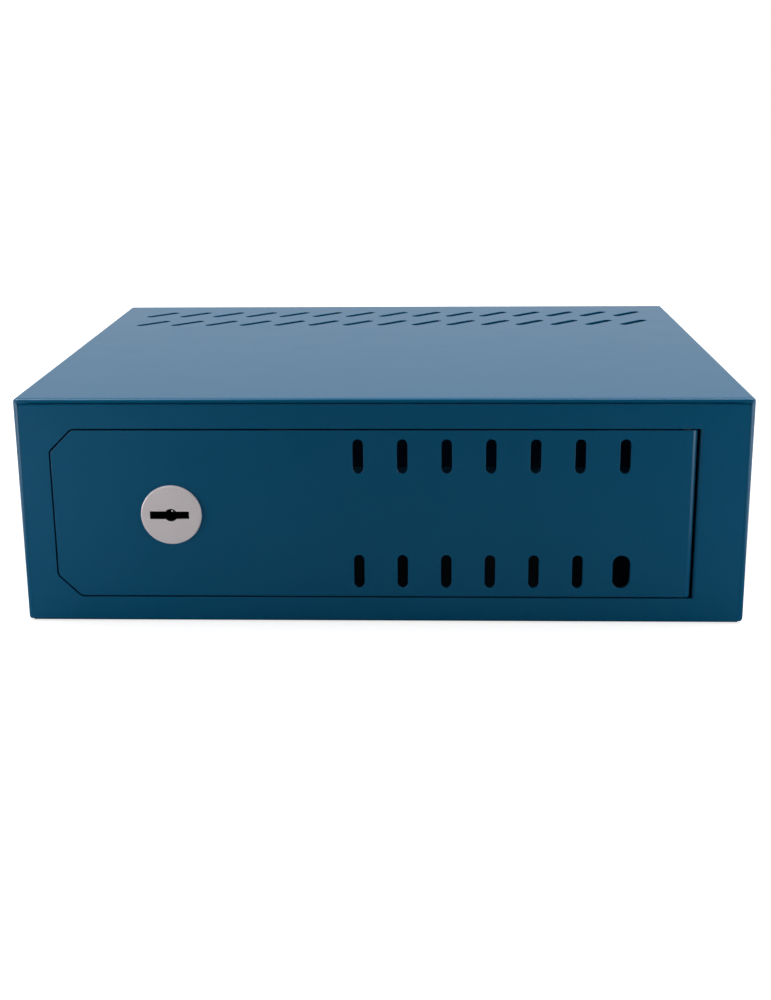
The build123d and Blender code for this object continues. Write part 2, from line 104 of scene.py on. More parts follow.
class LockBoxShell(bpy.types.PropertyGroup):
    wrap_sheet: length("Wrap sheet", "Thickness of the wrap", 0.003)
    tray_sheet: length("Tray sheet", "Thickness of the tray and the door", 0.0025)
    bend_inside: length("Bend", "Inner radius of the wrap's and the tray's bends", 0.0004)
    corner_round: length("Corner rounding", "Outer rounding of the wrap's and the tray's bends", 0.0022)
    lip_round: length("Lip rounding", "Rounding of the top's front and back edges, in height", 0.0008)
    lip_back: length("Lip rounding back", "How far that rounding reaches back over the top", 0.0034)
    lip_edge: length("Lip edge", "Upright part of the top's front and back edges", 0.0009)
    lip_step: length("Lip step", "Small slant at the foot of that upright part", 0.00015)
    lip_rebate: length("Lip rebate", "How far those edges slant in below it", 0.0014)
    lip_fade: length("Lip fade", "Distance from the corners over which the shadow line begins", 0.007)
    side_lip: length("Side lip", "How far the rounding of the sides' front edge reaches across the sheet", 0.0029)
    side_lip_back: length("Side lip reach", "How far that rounding reaches back along the side", 0.0024)
    plate_round: length("Plate rounding", "Rounding of the upper edges of the front and back plates", 0.0011)
    plate_gap: length("Plate gap", "Gap that the paint leaves beside the front and back plates", 0.00006)
    foot_round: length("Foot rounding", "Rounding of the wrap's lower edges", 0.0022)
    cut_round: length("Cut rounding", "Rounding that the paint leaves on a cut edge", 0.0003)
    plate_corner: length("Plate corner", "Corner radius of the front and back plates", 0.0016)
    vent_length: length("Vent length", "Overall length of one vent", 0.028)
    vent_width: length("Vent width", "Width of one vent", 0.006)
    vent_angle: FloatProperty(
        name="Vent angle", description="Slant of the vents", default=np.pi / 4, subtype="ANGLE", unit="ROTATION"
    )
    vent_pitch: length("Vent pitch", "Distance between two vents of a row", 0.025)
    vent_columns: IntProperty(name="Vents in a row", description="Number of vents in a row", default=15, min=1)
    first_row: length("First row", "Distance of the first row of vents from the back", 0.0382)
    second_row: length("Second row", "Distance of the second row of vents from the back", 0.0753)
    opening_gap: length("Opening gap", "Gap between the door and its opening", 0.0009)
    hinge_gap: length("Hinge gap", "Gap at the hinge side of the door", 0.0012)
    corner_cut: length("Corner cut", "Length cut off the lock-side corners of the opening", 0.0132)
    corner_blend: length("Corner blend", "Radius where a cut-off corner meets a side", 0.004)
    jamb_depth: length("Jamb depth", "How far the hinge side of the opening is folded back", 0.012)
    jamb_round: length("Jamb rounding", "Outer rounding of the bend into the jamb", 0.0020)
    jamb_relief: length("Jamb relief", "Cut between the jamb and the plate above and below it", 0.00006)
    fixing_hole: length("Fixing hole", "Radius of a fixing hole", 0.0035)
    outlet: length("Outlet", "Radius of a cable outlet in the back plate", 0.019)
    grommet_lip: length("Grommet lip", "How far a grommet's lips stand over the edge of its outlet", 0.004)
    grommet_wall: length("Grommet wall", "Wall of a grommet between its bore and the outlet", 0.004)
    grommet_flange: length("Grommet flange", "Thickness of a grommet's lips", 0.002)
    grommet_fit: length("Grommet fit", "How much smaller than its outlet a grommet's neck is", 0.0001)


class LockBoxDoor(bpy.types.PropertyGroup):
    fold_inside: length("Fold", "Inner radius of the fold at the hinge side", 0.001)
    fold_corner: length("Fold corner", "Corner radius of the fold's free edge", 0.0008)
    slot_length: length("Slot length", "Overall length of an air slot", 0.020)
    slot_width: length("Slot width", "Width of an air slot", 0.006)
    cable_slot_width: length("Cable slot width", "Width of the lower slot next to the hinge", 0.010)
    slot_pitch: length("Slot pitch", "Distance between two slots of a row", 0.025)
    slot_columns: IntProperty(name="Slots in a row", description="Number of slots in a row", default=7, min=1)
    slot_margin: length("Slot margin", "Distance of a row's middle from the door's edge", 0.0152)
    slot_edge: length("Slot edge", "Distance of the last slot from the hinge side", 0.0399)
    shank_hole: length("Shank hole", "Radius of the lock's hole", 0.0141)
    shank_flats: length("Shank flats", "Distance between the two flats of the lock's hole", 0.0262)


class LockBoxLock(bpy.types.PropertyGroup):
    rosette_proud: length("Rosette thickness", "How far the rosette stands proud of the door", 0.002)
    rosette_round: length("Rosette rounding", "Rounding of the rosette's rim", 0.0007)
    keyhole_round: length("Keyhole rounding", "Rounding of the keyhole's edge", 0.00025)
    shank_radius: length("Shank radius", "Radius of the rosette's shank", 0.014)
    shank_flats: length("Shank flats", "Distance between the shank's two flats", 0.026)
    clip_groove: length("Clip groove", "Depth of the groove for the clip", 0.0014)
    clip_start: length("Clip start", "Distance of that groove behind the door", 0.0015)
    clip_width: length("Clip width", "Width of that groove", 0.001)
    arm_corner: length("Arm corner", "Corner radius at the ends of the keyhole's arms", 0.0004)
    long_arm: length("Long arm", "Reach of the keyhole's left arm", 0.0121)
    long_width: length("Long arm width", "Width of the keyhole's left arm", 0.0047)
    short_arm: length("Short arm", "Reach of the keyhole's right arm", 0.0103)
    short_width: length("Short arm width", "Width of the keyhole's right arm", 0.0044)
    hub: length("Hub", "Radius of the keyhole's round middle", 0.0038)
    seat_radius: length("Barrel seat", "Radius of the seat of the barrel in the shank", 0.00905)
    seat_depth: length("Barrel seat depth", "Depth of that seat", 0.0015)
    case_wall: length("Case wall", "Wall of the lock case, which holds the front end of the lever post", 0.0015)
    cover_thickness: length("Cover", "Thickness of the lock's cover", 0.0015)
    fine_edge: length("Fine edge", "Rounding of the finest edges of the small turned pieces", 0.0002)
    soft_edge: length("Soft edge", "Rounding of the softer edges of the small turned pieces", 0.0003)
    post_end: length("Post end", "Radius of the lever post's two ends", 0.002)
    stud: length("Stud", "Radius of a stud", 0.002)
    thread_pitch: length("Thread pitch", "Rise of the studs' thread in a turn", 0.0007)
    thread_depth: length("Thread depth", "Depth of the studs' thread", 0.0003)
    thread_start: length("Thread start", "Length of a stud before its thread begins", 0.002)
    washer: length("Washer", "Outer radius of a washer", 0.0045)
    washer_bore: length("Washer bore", "Radius of a washer's hole", 0.0023)
    nut_flats: length("Nut flats", "Width across the flats of a nut", 0.007)
    nut_bore: length("Nut bore", "Radius of a nut's hole", 0.00205)
    nut_slope: length("Nut slope", "Height of the slope at the corners of a nut", 0.0004)
    screw: length("Screw", "Radius of a cover screw", 0.00145)
    screw_head: length("Screw head", "Radius of a cover screw's head", 0.00275)
    screw_height: length("Screw head height", "Height of that head", 0.0016)
    recess_depth: length("Cross recess", "Depth of the cross recess in that head", 0.0009)


class LockBoxFinish(bpy.types.PropertyGroup):
    enamel: colour("Enamel", "Main tone of the blue enamel", (0.0003, 0.096, 0.202, 1.0))
    enamel_deep: colour("Deep enamel", "Darker tone of the enamel, in faint clouds", (0.0002, 0.084, 0.180, 1.0))
    enamel_roughness: share("Enamel roughness", "Roughness of the enamel", 0.24)
    enamel_specular: share("Enamel specular", "Strength of the enamel's clear reflection", 0.32)
    nickel: colour("Nickel", "Satin nickel of the rosette", (0.93, 0.86, 0.88, 1.0))
    nickel_roughness: share("Nickel roughness", "Roughness of the rosette", 0.42)
    # this colour is the barrel's blacked steel and also the painted shade on the walls of the rosette's keyhole
    blacked_and_keyhole_shade: colour("Blacked steel", "Blacked steel of the barrel and in the keyhole", (0.010, 0.010, 0.011, 1.0))
    zinc: colour("Zinc", "Plated steel of the lock case and its fasteners", (0.60, 0.61, 0.62, 1.0))
    steel: colour("Steel", "Bright steel of the bolt and the pins", (0.62, 0.61, 0.59, 1.0))
    brass: colour("Brass", "Brass of the levers", (0.78, 0.56, 0.25, 1.0))
    rubber: colour("Rubber", "Rubber of the grommets", (0.022, 0.022, 0.024, 1.0))


class LockBoxStudio(bpy.types.PropertyGroup):
    place: FloatVectorProperty(
        name="Camera place", description="Where the camera stands", default=(0.02584, -0.89581, 0.30397),
        size=3, subtype="XYZ", unit="LENGTH",
    )
    angles: FloatVectorProperty(
        name="Camera angles", description="Yaw to the right, pitch down and roll, in radians",
        default=tuple(np.radians((-1.887, 14.882, 0.473))), size=3, subtype="EULER", unit="ROTATION",
    )
    lens: FloatProperty(name="Lens", description="Focal length in millimetres on a 36 mm sensor side", default=48.910)
    shift: FloatVectorProperty(
        name="Camera shift", description="Shift of the picture, in parts of its height", default=(0.00119, -0.0585),
        size=2,
    )
    overhead: watts("Overhead lamps", "Power of each overhead lamp in watts", 22.0)
    front: watts("Front lamp", "Power of the lamp high in front in watts", 0.5)
    left: watts("Left lamp", "Power of the lamp in front on the left in watts", 0.66)
    right: watts("Right lamp", "Power of the lamp in front on the right in watts", 0.62)
    room: share("Room light", "Strength of the light that comes from all round", 0.05)
    room_front: share("Room behind the camera", "Brightness that the enamel mirrors from behind the camera", 0.02)
    room_back: share("Room behind the box", "Brightness that the enamel mirrors from behind the box", 0.57)
    floor: colour("Floor", "Colour of the floor", (0.50, 0.50, 0.50, 1.0))
    floor_glow: share("Floor glow", "White that the camera sees on top of the lit floor", 0.7)
    floor_left: share("Floor on the left", "White of the floor that the left end of the front mirrors", 0.12)
    floor_mirror: FloatProperty(
        name="Floor in reflections", description="White of the floor in the sides and back of the box", default=1.4
    )


class Signal:
    """The value that leaves a socket. Arithmetic on it adds Math nodes to its tree."""

    def __init__(self, web, socket):
        self.web = web
        self.socket = socket

    def __add__(self, other):
        return self.web.maths("ADD", self, other)

    def __sub__(self, other):
        return self.web.maths("SUBTRACT", self, other)

    def __mul__(self, other):
        return self.web.maths("MULTIPLY", self, other)

    def __pow__(self, other):
        return self.web.maths("POWER", self, other)

    __radd__ = __add__
    __rmul__ = __mul__


class Web:
    """A node tree, to which every node is added by the same method."""

    def __init__(self, tree):
        self.tree = tree

    def node(self, kind, settings, sockets, output=0):
        """Adds a node, sets it, fills its sockets with values or signals and returns one of its outputs."""
        node = self.tree.nodes.new(kind)
        for key, value in settings.items():
            setattr(node, key, value)
        for key, value in sockets.items():
            self.fill(self.find(node.inputs, key), value)
        return Signal(self, self.find(node.outputs, output)) if node.outputs else None

    def find(self, sockets, key):
        """A socket by its number, or the one in use that has the name."""
        if isinstance(key, int):
            return sockets[key]
        return next(socket for socket in sockets if socket.name == key and socket.enabled)

    def fill(self, socket, value):
        """Links a signal to a socket, or sets the socket's own value."""
        if isinstance(value, Signal):
            self.tree.links.new(value.socket, socket)
        else:
            socket.default_value = value

    def maths(self, operation, first, second):
        """One Math node."""
        return self.node("ShaderNodeMath", {"operation": operation}, {0: first, 1: second})

    def where(self, kind="Object"):
        """Coordinates of a kind."""
        return self.node("ShaderNodeTexCoord", {}, {}, kind)

    def part(self, vector, axis):
        """One of the three parts of a vector."""
        return self.node("ShaderNodeSeparateXYZ", {}, {"Vector": vector}, axis)

    def ray(self, kind):
        """One for rays of a kind, nought for others."""
        return self.node("ShaderNodeLightPath", {}, {}, kind)

    def ramp(self, value, low, high, start, end):
        """Goes smoothly from start to end while a value goes from low to high."""
        sockets = {"Value": value, "From Min": low, "From Max": high, "To Min": start, "To Max": end}
        return self.node("ShaderNodeMapRange", {"interpolation_type": "SMOOTHSTEP"}, sockets, "Result")


class Finish(Web):
    """A procedural material: a Principled shader and the nodes that vary it."""

    def __init__(self, name):
        self.material = bpy.data.materials.new(name)
        self.material.use_nodes = True
        super().__init__(self.material.node_tree)
        self.shader = next(node for node in self.tree.nodes if node.type == "BSDF_PRINCIPLED")

    def place(self, scale=(1.0, 1.0, 1.0)):
        """Object coordinates, stretched by a scale on each axis."""
        return self.node("ShaderNodeMapping", {}, {"Vector": self.where(), "Scale": scale}, "Vector")

    def noise(self, scale, detail=2.0, stretch=(1.0, 1.0, 1.0)):
        """Soft noise with a number of waves per metre."""
        sockets = {"Vector": self.place(stretch), "Scale": scale, "Detail": detail}
        return self.node("ShaderNodeTexNoise", {}, sockets, "Fac")

    def blend(self, mask, first, second):
        """Mixes two colours."""
        sockets = {"Factor": mask, "A": first, "B": second}
        return self.node("ShaderNodeMix", {"data_type": "RGBA", "clamp_factor": True}, sockets, "Result")

    def relief(self, height, distance, strength):
        """Bump from a height signal, in metres."""
        bump = self.node("ShaderNodeBump", {}, {"Height": height, "Distance": distance, "Strength": strength}, "Normal")
        self.surface({"Normal": bump})

    def coat(self, mask, first, second, roughness, metallic):
        """Base colour between two tones, with its roughness and its share of metal."""
        tone = self.blend(mask, tuple(first), tuple(second))
        self.surface({"Base Color": tone, "Roughness": roughness, "Metallic": metallic})

    def surface(self, sockets):
        """Fills sockets of the shader."""
        for key, value in sockets.items():
            self.fill(self.find(self.shader.inputs, key), value)


def shade(tone, *change):
    """A tone times a change of its red, green and blue."""
    return tuple(np.array(tone) * (*change, 1.0))


def inside_of_case(finish):
    """One inside the sheets of the case and the door, nought outside: a band between two planes on each axis. The
    enamel uses it to paint shade inside the box.
    """
    here = finish.where()
    outer, inner = 0.0009, 0.0015
    mask = 1.0
    for axis, low, high in zip("XYZ", tray_low, tray_high):
        along = finish.part(here, axis)
        far = finish.ramp(along, high - inner, high - outer, 1.0, 0.0)
        mask = mask * finish.ramp(along, low + outer, low + inner, 0.0, 1.0) * far
    return mask


def enamel_finish(settings):
    """Blue enamel: faint clouds of tone, soft sheen that varies a little, and the fine peel of sprayed paint. Inside
    the box it is painted darker and rougher, as painted shade.
    """
    finish = Finish("blue_enamel")
    clouds = finish.noise(9.0, 3.0)
    haze = finish.noise(38.0, 4.0)
    peel = finish.noise(420.0, 1.0)
    grain = finish.noise(1900.0, 1.0)
    tone = finish.blend(clouds * 0.7 + haze * 0.3, tuple(settings.enamel_deep), tuple(settings.enamel))
    inside = inside_of_case(finish)
    # painted shade: inside the box the enamel turns to a darker tone, which stands in for the shade in there
    painted_inside_shade = shade(settings.enamel_deep, 1.0, 0.6, 0.6)
    finish.surface({
        "Base Color": finish.blend(inside, tone, painted_inside_shade),
        "Roughness": settings.enamel_roughness - 0.03 + haze * 0.06 + inside * 0.36,
        "Specular IOR Level": settings.enamel_specular,
    })
    finish.relief(peel + grain * 0.25, 0.000012, 0.6)
    return finish.material


def nickel_finish(settings):
    """Satin nickel: very fine brushing across the face, a slightly uneven lustre, and painted shade in the keyhole,
    whose walls are coloured nearly black.
    """
    finish = Finish("satin_nickel")
    brushing = finish.noise(60.0, 3.0, (1.0, 1.0, 90.0))
    lustre = finish.noise(55.0, 2.0)
    pale = tuple(settings.nickel)
    dull = shade(settings.nickel, 0.93, 0.93, 0.94)
    here = finish.where()
    across, deep, up = (finish.part(here, axis) for axis in "XYZ")
    away = (across - LOCK[0]) ** 2.0 + (up - LOCK[1]) ** 2.0
    near, far, face = 0.0125, 0.0135, rosette_low[1]
    # painted shade: near the keyhole and past the face, the walls take the nearly black colour in place of the shade
    # deep in the hole
    keyhole_shade = finish.ramp(away, near ** 2, far ** 2, 1.0, 0.0)
    keyhole_shade = keyhole_shade * finish.ramp(deep, face + 0.0002, face + 0.0006, 0.0, 1.0)
    tone = finish.blend(lustre * 0.6 + brushing * 0.4, dull, pale)
    finish.surface({
        "Base Color": finish.blend(keyhole_shade, tone, tuple(settings.blacked_and_keyhole_shade)),
        "Roughness": settings.nickel_roughness - 0.05 + brushing * 0.1,
        "Metallic": 0.3,
    })
    finish.relief(brushing, 0.000006, 0.5)
    return finish.material


def zinc_finish(settings):
    """Zinc-plated steel: cool and warm patches, drawn lines along the sheet and small dull specks."""
    finish = Finish("zinc_plate")
    patches = finish.noise(45.0, 3.0)
    lines = finish.noise(30.0, 2.0, (1.0, 1.0, 40.0))
    specks = finish.noise(900.0, 1.0)
    warm = shade(settings.zinc, 1.0, 0.95, 0.84)
    finish.coat(patches, settings.zinc, warm, 0.27 + patches * 0.12 + specks * 0.08, 0.75)
    finish.relief(lines + specks * 0.4, 0.000008, 0.5)
    return finish.material


def blacked_and_shade_finish(settings):
    """Oil-blacked steel: nearly black, partly as painted shade for the barrel deep in the keyhole, with fine turning
    lines and a dull shine.
    """
    finish = Finish("blacked_steel")
    lines = finish.noise(50.0, 3.0, (1.0, 60.0, 1.0))
    oil = finish.noise(90.0, 2.0)
    worn = shade(settings.blacked_and_keyhole_shade, 2.5, 2.5, 2.4)
    finish.coat(lines * 0.5 + oil * 0.5, settings.blacked_and_keyhole_shade, worn, 0.32 + oil * 0.12, 0.6)
    finish.relief(lines, 0.000006, 0.5)
    return finish.material


def steel_finish(settings):
    """Ground bright steel: close grinding lines and a little uneven shine."""
    finish = Finish("bright_steel")
    lines = finish.noise(40.0, 3.0, (1.0, 1.0, 60.0))
    shine = finish.noise(120.0, 2.0)
    finish.coat(lines, shade(settings.steel, 0.85, 0.85, 0.86), settings.steel, 0.26 + shine * 0.12, 0.7)
    finish.relief(lines, 0.000006, 0.5)
    return finish.material


def brass_finish(settings):
    """Stamped brass: brushing along the lever and a slight brown tarnish."""
    finish = Finish("stamped_brass")
    brushing = finish.noise(35.0, 3.0, (1.0, 1.0, 45.0))
    tarnish = finish.noise(80.0, 4.0)
    brown = shade(settings.brass, 0.72, 0.62, 0.5)
    finish.coat(tarnish ** 2.0, settings.brass, brown, 0.24 + brushing * 0.14, 1.0)
    finish.relief(brushing, 0.000006, 0.5)
    return finish.material


def rubber_finish(settings):
    """Black rubber: matt, with a fine moulded grain and a faint bloom."""
    finish = Finish("black_rubber")
    bloom = finish.noise(70.0, 3.0)
    grain = finish.noise(1500.0, 2.0)
    finish.coat(bloom, settings.rubber, shade(settings.rubber, 1.8, 1.8, 1.8), 0.62 + bloom * 0.14, 0.0)
    finish.surface({"Specular IOR Level": 0.4})
    finish.relief(grain, 0.00002, 0.6)
    return finish.material


FINISHES = {
    "blue_enamel": enamel_finish,
    "satin_nickel": nickel_finish,
    "zinc_plate": zinc_finish,
    "bright_steel": steel_finish,
    "blacked_steel": blacked_and_shade_finish,
    "stamped_brass": brass_finish,
    "black_rubber": rubber_finish,
}


def finish_named(name):
    """The material of that name, made when it is first asked for."""
    return bpy.data.materials.get(name) or FINISHES[name](bpy.context.scene.lock_box_finish)


def unit(vectors):
    """Vectors divided by their lengths."""
    return vectors / np.linalg.norm(vectors, axis=-1, keepdims=True)


def rounded(points, radii, steps=7):
    """Closed outline with an arc at each corner: the arc's centre lies on the corner's bisector at
    radius / sin(half angle), and its points turn evenly from one tangent point to the other."""
    points = np.asarray(points, float)
    radii = np.broadcast_to(np.asarray(radii, float), len(points))[:, None]
    before = unit(np.roll(points, 1, axis=0) - points)
    after = unit(np.roll(points, -1, axis=0) - points)
    half = np.arccos(np.clip((before * after).sum(axis=1, keepdims=True), -1, 1)) / 2
    centre = points + unit(before + after) * radii / np.sin(half)
    start = points + before * radii / np.tan(half) - centre
    end = points + after * radii / np.tan(half) - centre
    turn = (np.pi - 2 * half)[:, None, :]
    part = np.linspace(0, 1, steps)[None, :, None]
    arc = (np.sin((1 - part) * turn) * start[:, None] + np.sin(part * turn) * end[:, None]) / np.sin(turn)
    outline = (centre[:, None] + arc).reshape(-1, 2)
    return outline[np.linalg.norm(outline - np.roll(outline, 1, axis=0), axis=1) > 1e-7]


def on_circle(angle):
    """Points of the unit circle: (cos a, sin a)."""
    return np.stack([np.cos(angle), np.sin(angle)], axis=1)


def circle(centre, radius, steps=48):
    """Circle: centre + radius × (cos a, sin a)."""
    return np.asarray(centre) + radius * on_circle(np.arange(steps) * 2 * np.pi / steps)


def slotted_hole(centre, overall, across, angle, steps=13):
    """Slot with round ends: two half circles of half its width, turned by an angle."""
    sweep = np.linspace(-QUARTER, QUARTER, steps)
    end = on_circle(sweep) * across / 2 + ((overall - across) / 2, 0)
    outline = np.concatenate([end, -end])
    turn = np.array([[np.cos(angle), np.sin(angle)], [-np.sin(angle), np.cos(angle)]])
    return np.asarray(centre) + outline @ turn


def with_crossings(outline, axis, lines, among=None):
    """Adds a point wherever a side of the outline crosses one of the lines of constant u or v. Where among
    is given, only sides with both their ends among those points count."""
    span = np.roll(outline, -1, axis=0) - outline
    across = np.where(np.abs(span[:, axis, None]) > 1e-9, span[:, axis, None], np.inf)
    part = (np.asarray(lines) - outline[:, axis, None]) / across
    crossed = (part > 1e-5) & (part < 1 - 1e-5)
    if among is not None:
        crossed &= (among & np.roll(among, -1))[:, None]
    side, line = np.nonzero(crossed)
    extra = outline[side] + part[side, line, None] * span[side]
    extra[:, axis] = np.asarray(lines)[line]
    order = np.argsort(np.concatenate([np.arange(len(outline)), side + part[side, line]]))
    return np.concatenate([outline, extra])[order]


def clockwise(outline):
    """The outline in clockwise order, as holes are listed, so that its outward side faces the hole."""
    ahead = np.roll(outline, -1, axis=0)
    area = (outline[:, 0] * ahead[:, 1] - outline[:, 1] * ahead[:, 0]).sum()
    return outline[::-1] if area > 0 else outline


def edge_levels(outline, thickness, outer, inner, steps=5, reach=None):
    """Cut edge of a sheet as levels of one outline: a quarter round at the front skin, a straight wall and
    a quarter round at the back skin. On a round, inset = radius (1 - sin a) and depth = radius (1 - cos a).
    Where a reach is given, the front round is oval and its inset grows to that reach."""
    side = unit(np.roll(outline, -1, axis=0) - outline)
    normal = np.stack([side[:, 1], -side[:, 0]], axis=1)
    before = np.roll(normal, 1, axis=0)
    mitre = (normal + before) / (1 + (normal * before).sum(axis=1, keepdims=True))
    turn = np.linspace(0, QUARTER, steps)[:, None]
    outer = np.broadcast_to(outer, len(outline))
    inner = np.broadcast_to(inner, len(outline))
    reach = outer if reach is None else reach
    inset = np.concatenate([reach * (1 - np.sin(turn)), inner * (1 - np.sin(turn[::-1]))])
    depth = np.concatenate([outer * (1 - np.cos(turn)), thickness - inner * (1 - np.cos(turn[::-1]))])
    flat = outline - inset[..., None] * mitre
    return np.concatenate([flat, depth[..., None]], axis=2)


def square_reach(angle, radius, corner):
    """Distance from the middle of a bend to a square corner that is rounded off by a smaller radius: to a
    side it is radius / max(sin a, cos a); to the rounding it is p + sqrt(corner² - 2 c² + p²), with
    c = radius - corner and p = c (sin a + cos a)."""
    sine, cosine = np.sin(angle), np.cos(angle)
    side = radius / np.maximum(np.maximum(sine, cosine), 0.7)
    inset = radius - corner
    middle = inset * (sine + cosine)
    arc = middle + np.sqrt(np.maximum(corner ** 2 - 2 * inset ** 2 + middle ** 2, 0.0))
    on_arc = (arc * np.minimum(sine, cosine) > inset - 1e-9) & (middle ** 2 > 2 * inset ** 2 - corner ** 2)
    return np.where(on_arc, arc, side)


def bent(along, depth, start, heading, inward, runs, radius, sheet=1.0, corner=None):
    """Path that runs straight and turns a quarter round between two runs, at a depth below its outer skin.
    On a run: start + heading × distance + inward × depth. In a bend: centre + (radius - depth) ×
    (heading × sin a - inward × cos a), with a = distance / radius. Where a corner radius is given, the
    outer skin follows the square corner and the sheet's depth fades that out towards the inner skin."""
    place, heading, inward = (np.array(item, float) for item in (start, heading, inward))
    passed = 0.0
    result = np.zeros((*np.shape(along), 2))
    for number, run in enumerate(runs):
        here = (along - passed)[..., None]
        straight = place + heading * here + inward * depth[..., None]
        result = np.where((here >= 0) | (number == 0), straight, result)
        place = place + heading * run
        passed += run
        if number + 1 < len(runs):
            angle = (along - passed)[..., None] / radius
            centre = place + inward * radius
            arm = heading * np.sin(angle) - inward * np.cos(angle)
            reach = radius - depth[..., None]
            if corner is not None:
                extra = square_reach(np.clip(angle, 0, QUARTER), radius, corner) - radius
                reach = reach + extra * (1 - depth[..., None] / sheet)
            result = np.where(angle >= 0, centre + reach * arm, result)
            place = centre + heading * radius
            heading, inward = inward, -heading
            passed += radius * QUARTER
    return result


def bend_lines(runs, radius):
    """Distances along a path where its bends begin, end and are stepped."""
    starts = np.cumsum(runs)[:-1] + radius * QUARTER * np.arange(len(runs) - 1)
    return (starts[:, None] + np.linspace(0, radius * QUARTER, FOLD_STEPS + 1)).ravel()


def creases(outline, axis, lines):
    """Pairs of points of the outline that lie on the same line of constant u or v."""
    near = np.abs(outline[:, axis, None] - np.asarray(lines)) < SAME_LINE
    return np.array([np.nonzero(near[:, line])[0][[0, -1]] for line in range(near.shape[1])])


def rim_faces(levels, points, first):
    """Four-sided faces between the levels of one closed rim."""
    rows = first + points * np.arange(levels - 1)[:, None]
    here = np.arange(points)
    ahead = np.roll(here, -1)
    faces = np.stack([rows + here, rows + ahead, rows + points + ahead, rows + points + here], axis=-1)
    return faces.reshape(-1, 4)


def skin_faces(rings, numbers, folds):
    """Triangles that fill the outer ring round the holes, held to the rings and to the fold lines."""
    flat = np.concatenate(rings)
    firsts = np.cumsum([0] + [len(ring) for ring in rings[:-1]])
    loops = [np.arange(len(ring)) + first for ring, first in zip(rings, firsts)]
    bounds = np.concatenate([pairs + firsts[ring] for ring, pairs in folds]).tolist() if folds else []
    areas = [loops[0].tolist()] + [loop[::-1].tolist() for loop in loops[1:]]
    points, _, faces, sources, _, owners = delaunay_2d_cdt(flat.tolist(), bounds, areas, 1, 1e-9)
    if len(points) != len(flat):
        raise RuntimeError("the outline of a sheet crosses itself")
    solid = [face for face, owner in zip(faces, owners) if owner == [0]]
    source = np.array([source[0] for source in sources])
    return np.concatenate(numbers)[source[np.array(solid)]]


def cut_sheet(stacks, folds, place):
    """Skin of a cut sheet: the levels of every rim joined into walls, and both skins filled between the rims.
    place turns u, v and depth into a point."""
    counts = [stack.shape[0] * stack.shape[1] for stack in stacks]
    firsts = np.cumsum([0] + counts[:-1])
    walls = np.concatenate([rim_faces(*stack.shape[:2], first) for stack, first in zip(stacks, firsts)])
    skins = []
    for level in (0, -1):
        rings = [stack[level, :, :2] for stack in stacks]
        starts = [first + (len(stack) - 1) * len(stack[0]) * (level == -1) for stack, first in zip(stacks, firsts)]
        numbers = [start + np.arange(len(ring)) for start, ring in zip(starts, rings)]
        skins.append(skin_faces(rings, numbers, folds))
    flat = np.concatenate([stack.reshape(-1, 3) for stack in stacks])
    return place(flat[:, 0], flat[:, 1], flat[:, 2]), walls, np.concatenate(skins)


def turned(profile, steps=64, widest=None, sink=None):
    """Turned shape: each point of the profile, given as radius and distance along the axis, goes round the
    axis. The point at angle a is (radius cos a, radius sin a, distance). The radius may be held to a widest
    value at each angle and distance, and the distance may sink by an amount at each radius and angle."""
    radius, along = np.asarray(profile, float).T
    angle = np.arange(steps) * 2 * np.pi / steps
    reach, spread = np.broadcast_arrays(radius[:, None], angle[None, :])
    height = np.broadcast_to(along[:, None], reach.shape)
    if widest is not None:
        reach = np.minimum(reach, widest(spread, height))
    if sink is not None:
        height = height - sink(reach * np.cos(spread), reach * np.sin(spread), height)
    points = np.stack([reach * np.cos(spread), reach * np.sin(spread), height], axis=-1)
    return points.reshape(-1, 3), rim_faces(len(radius), steps, 0)


def round_wall(radius, start, end, first, last):
    """Profile of a wall from start to end, with corners rounded by the sizes first and last: a quarter circle
    at each, with the radius radius - out × size (1 - sin a) and the distance size (1 - cos a) from the end. out
    is 1 for an outer wall, which runs up the axis, and -1 for a bore, which runs down. A size of nought leaves
    the corner square."""
    out = np.sign(end - start)
    arcs = []
    for place, size, inward in ((start, first, out), (end, last, -out)):
        angle = np.linspace(0, QUARTER, 6 if size else 1)
        radii = radius - out * size * (1 - np.sin(angle))
        arcs.append(np.stack([radii, place + inward * size * (1 - np.cos(angle))], axis=1))
    return np.concatenate([arcs[0], arcs[1][::-1]])


def closed(parts):
    """Parts of a profile joined into one that ends where it begins."""
    whole = np.concatenate(parts)
    return np.concatenate([whole, whole[:1]])


def pin_profile(radius, low, high, size):
    """Profile of a pin from pole to pole with both ends rounded."""
    return np.concatenate([[(0, low)], round_wall(radius, low, high, size, size), [(0, high)]])


def ring_profile(bore, radius, low, high, size):
    """Closed profile of a ring with four rounded corners."""
    return closed([round_wall(radius, low, high, size, size), round_wall(bore, high, low, size, size)])


def thread(radius, depth, pitch, start, end):
    """Widest radius of a thread: radius - depth × the distance from the nearest crest, which climbs one pitch
    in a turn. It fades out at its start and its end."""

    def widest(angle, height):
        crest = np.abs((height / pitch - angle / (2 * np.pi)) % 1.0 - 0.5) * 2
        fade = np.clip((height - start) / pitch, 0, 1) * np.clip((end - height) / pitch, 0, 1)
        return radius - depth * (1 - crest) * fade

    return widest


def hexagon(flats):
    """Widest radius of a hexagon: half the flats over the cosine of the angle from the nearest flat."""

    def widest(angle, height):
        off = (angle + np.pi / 6) % (np.pi / 3) - np.pi / 6
        return flats / 2 / np.cos(np.pi / 6 - np.abs(off))

    return widest


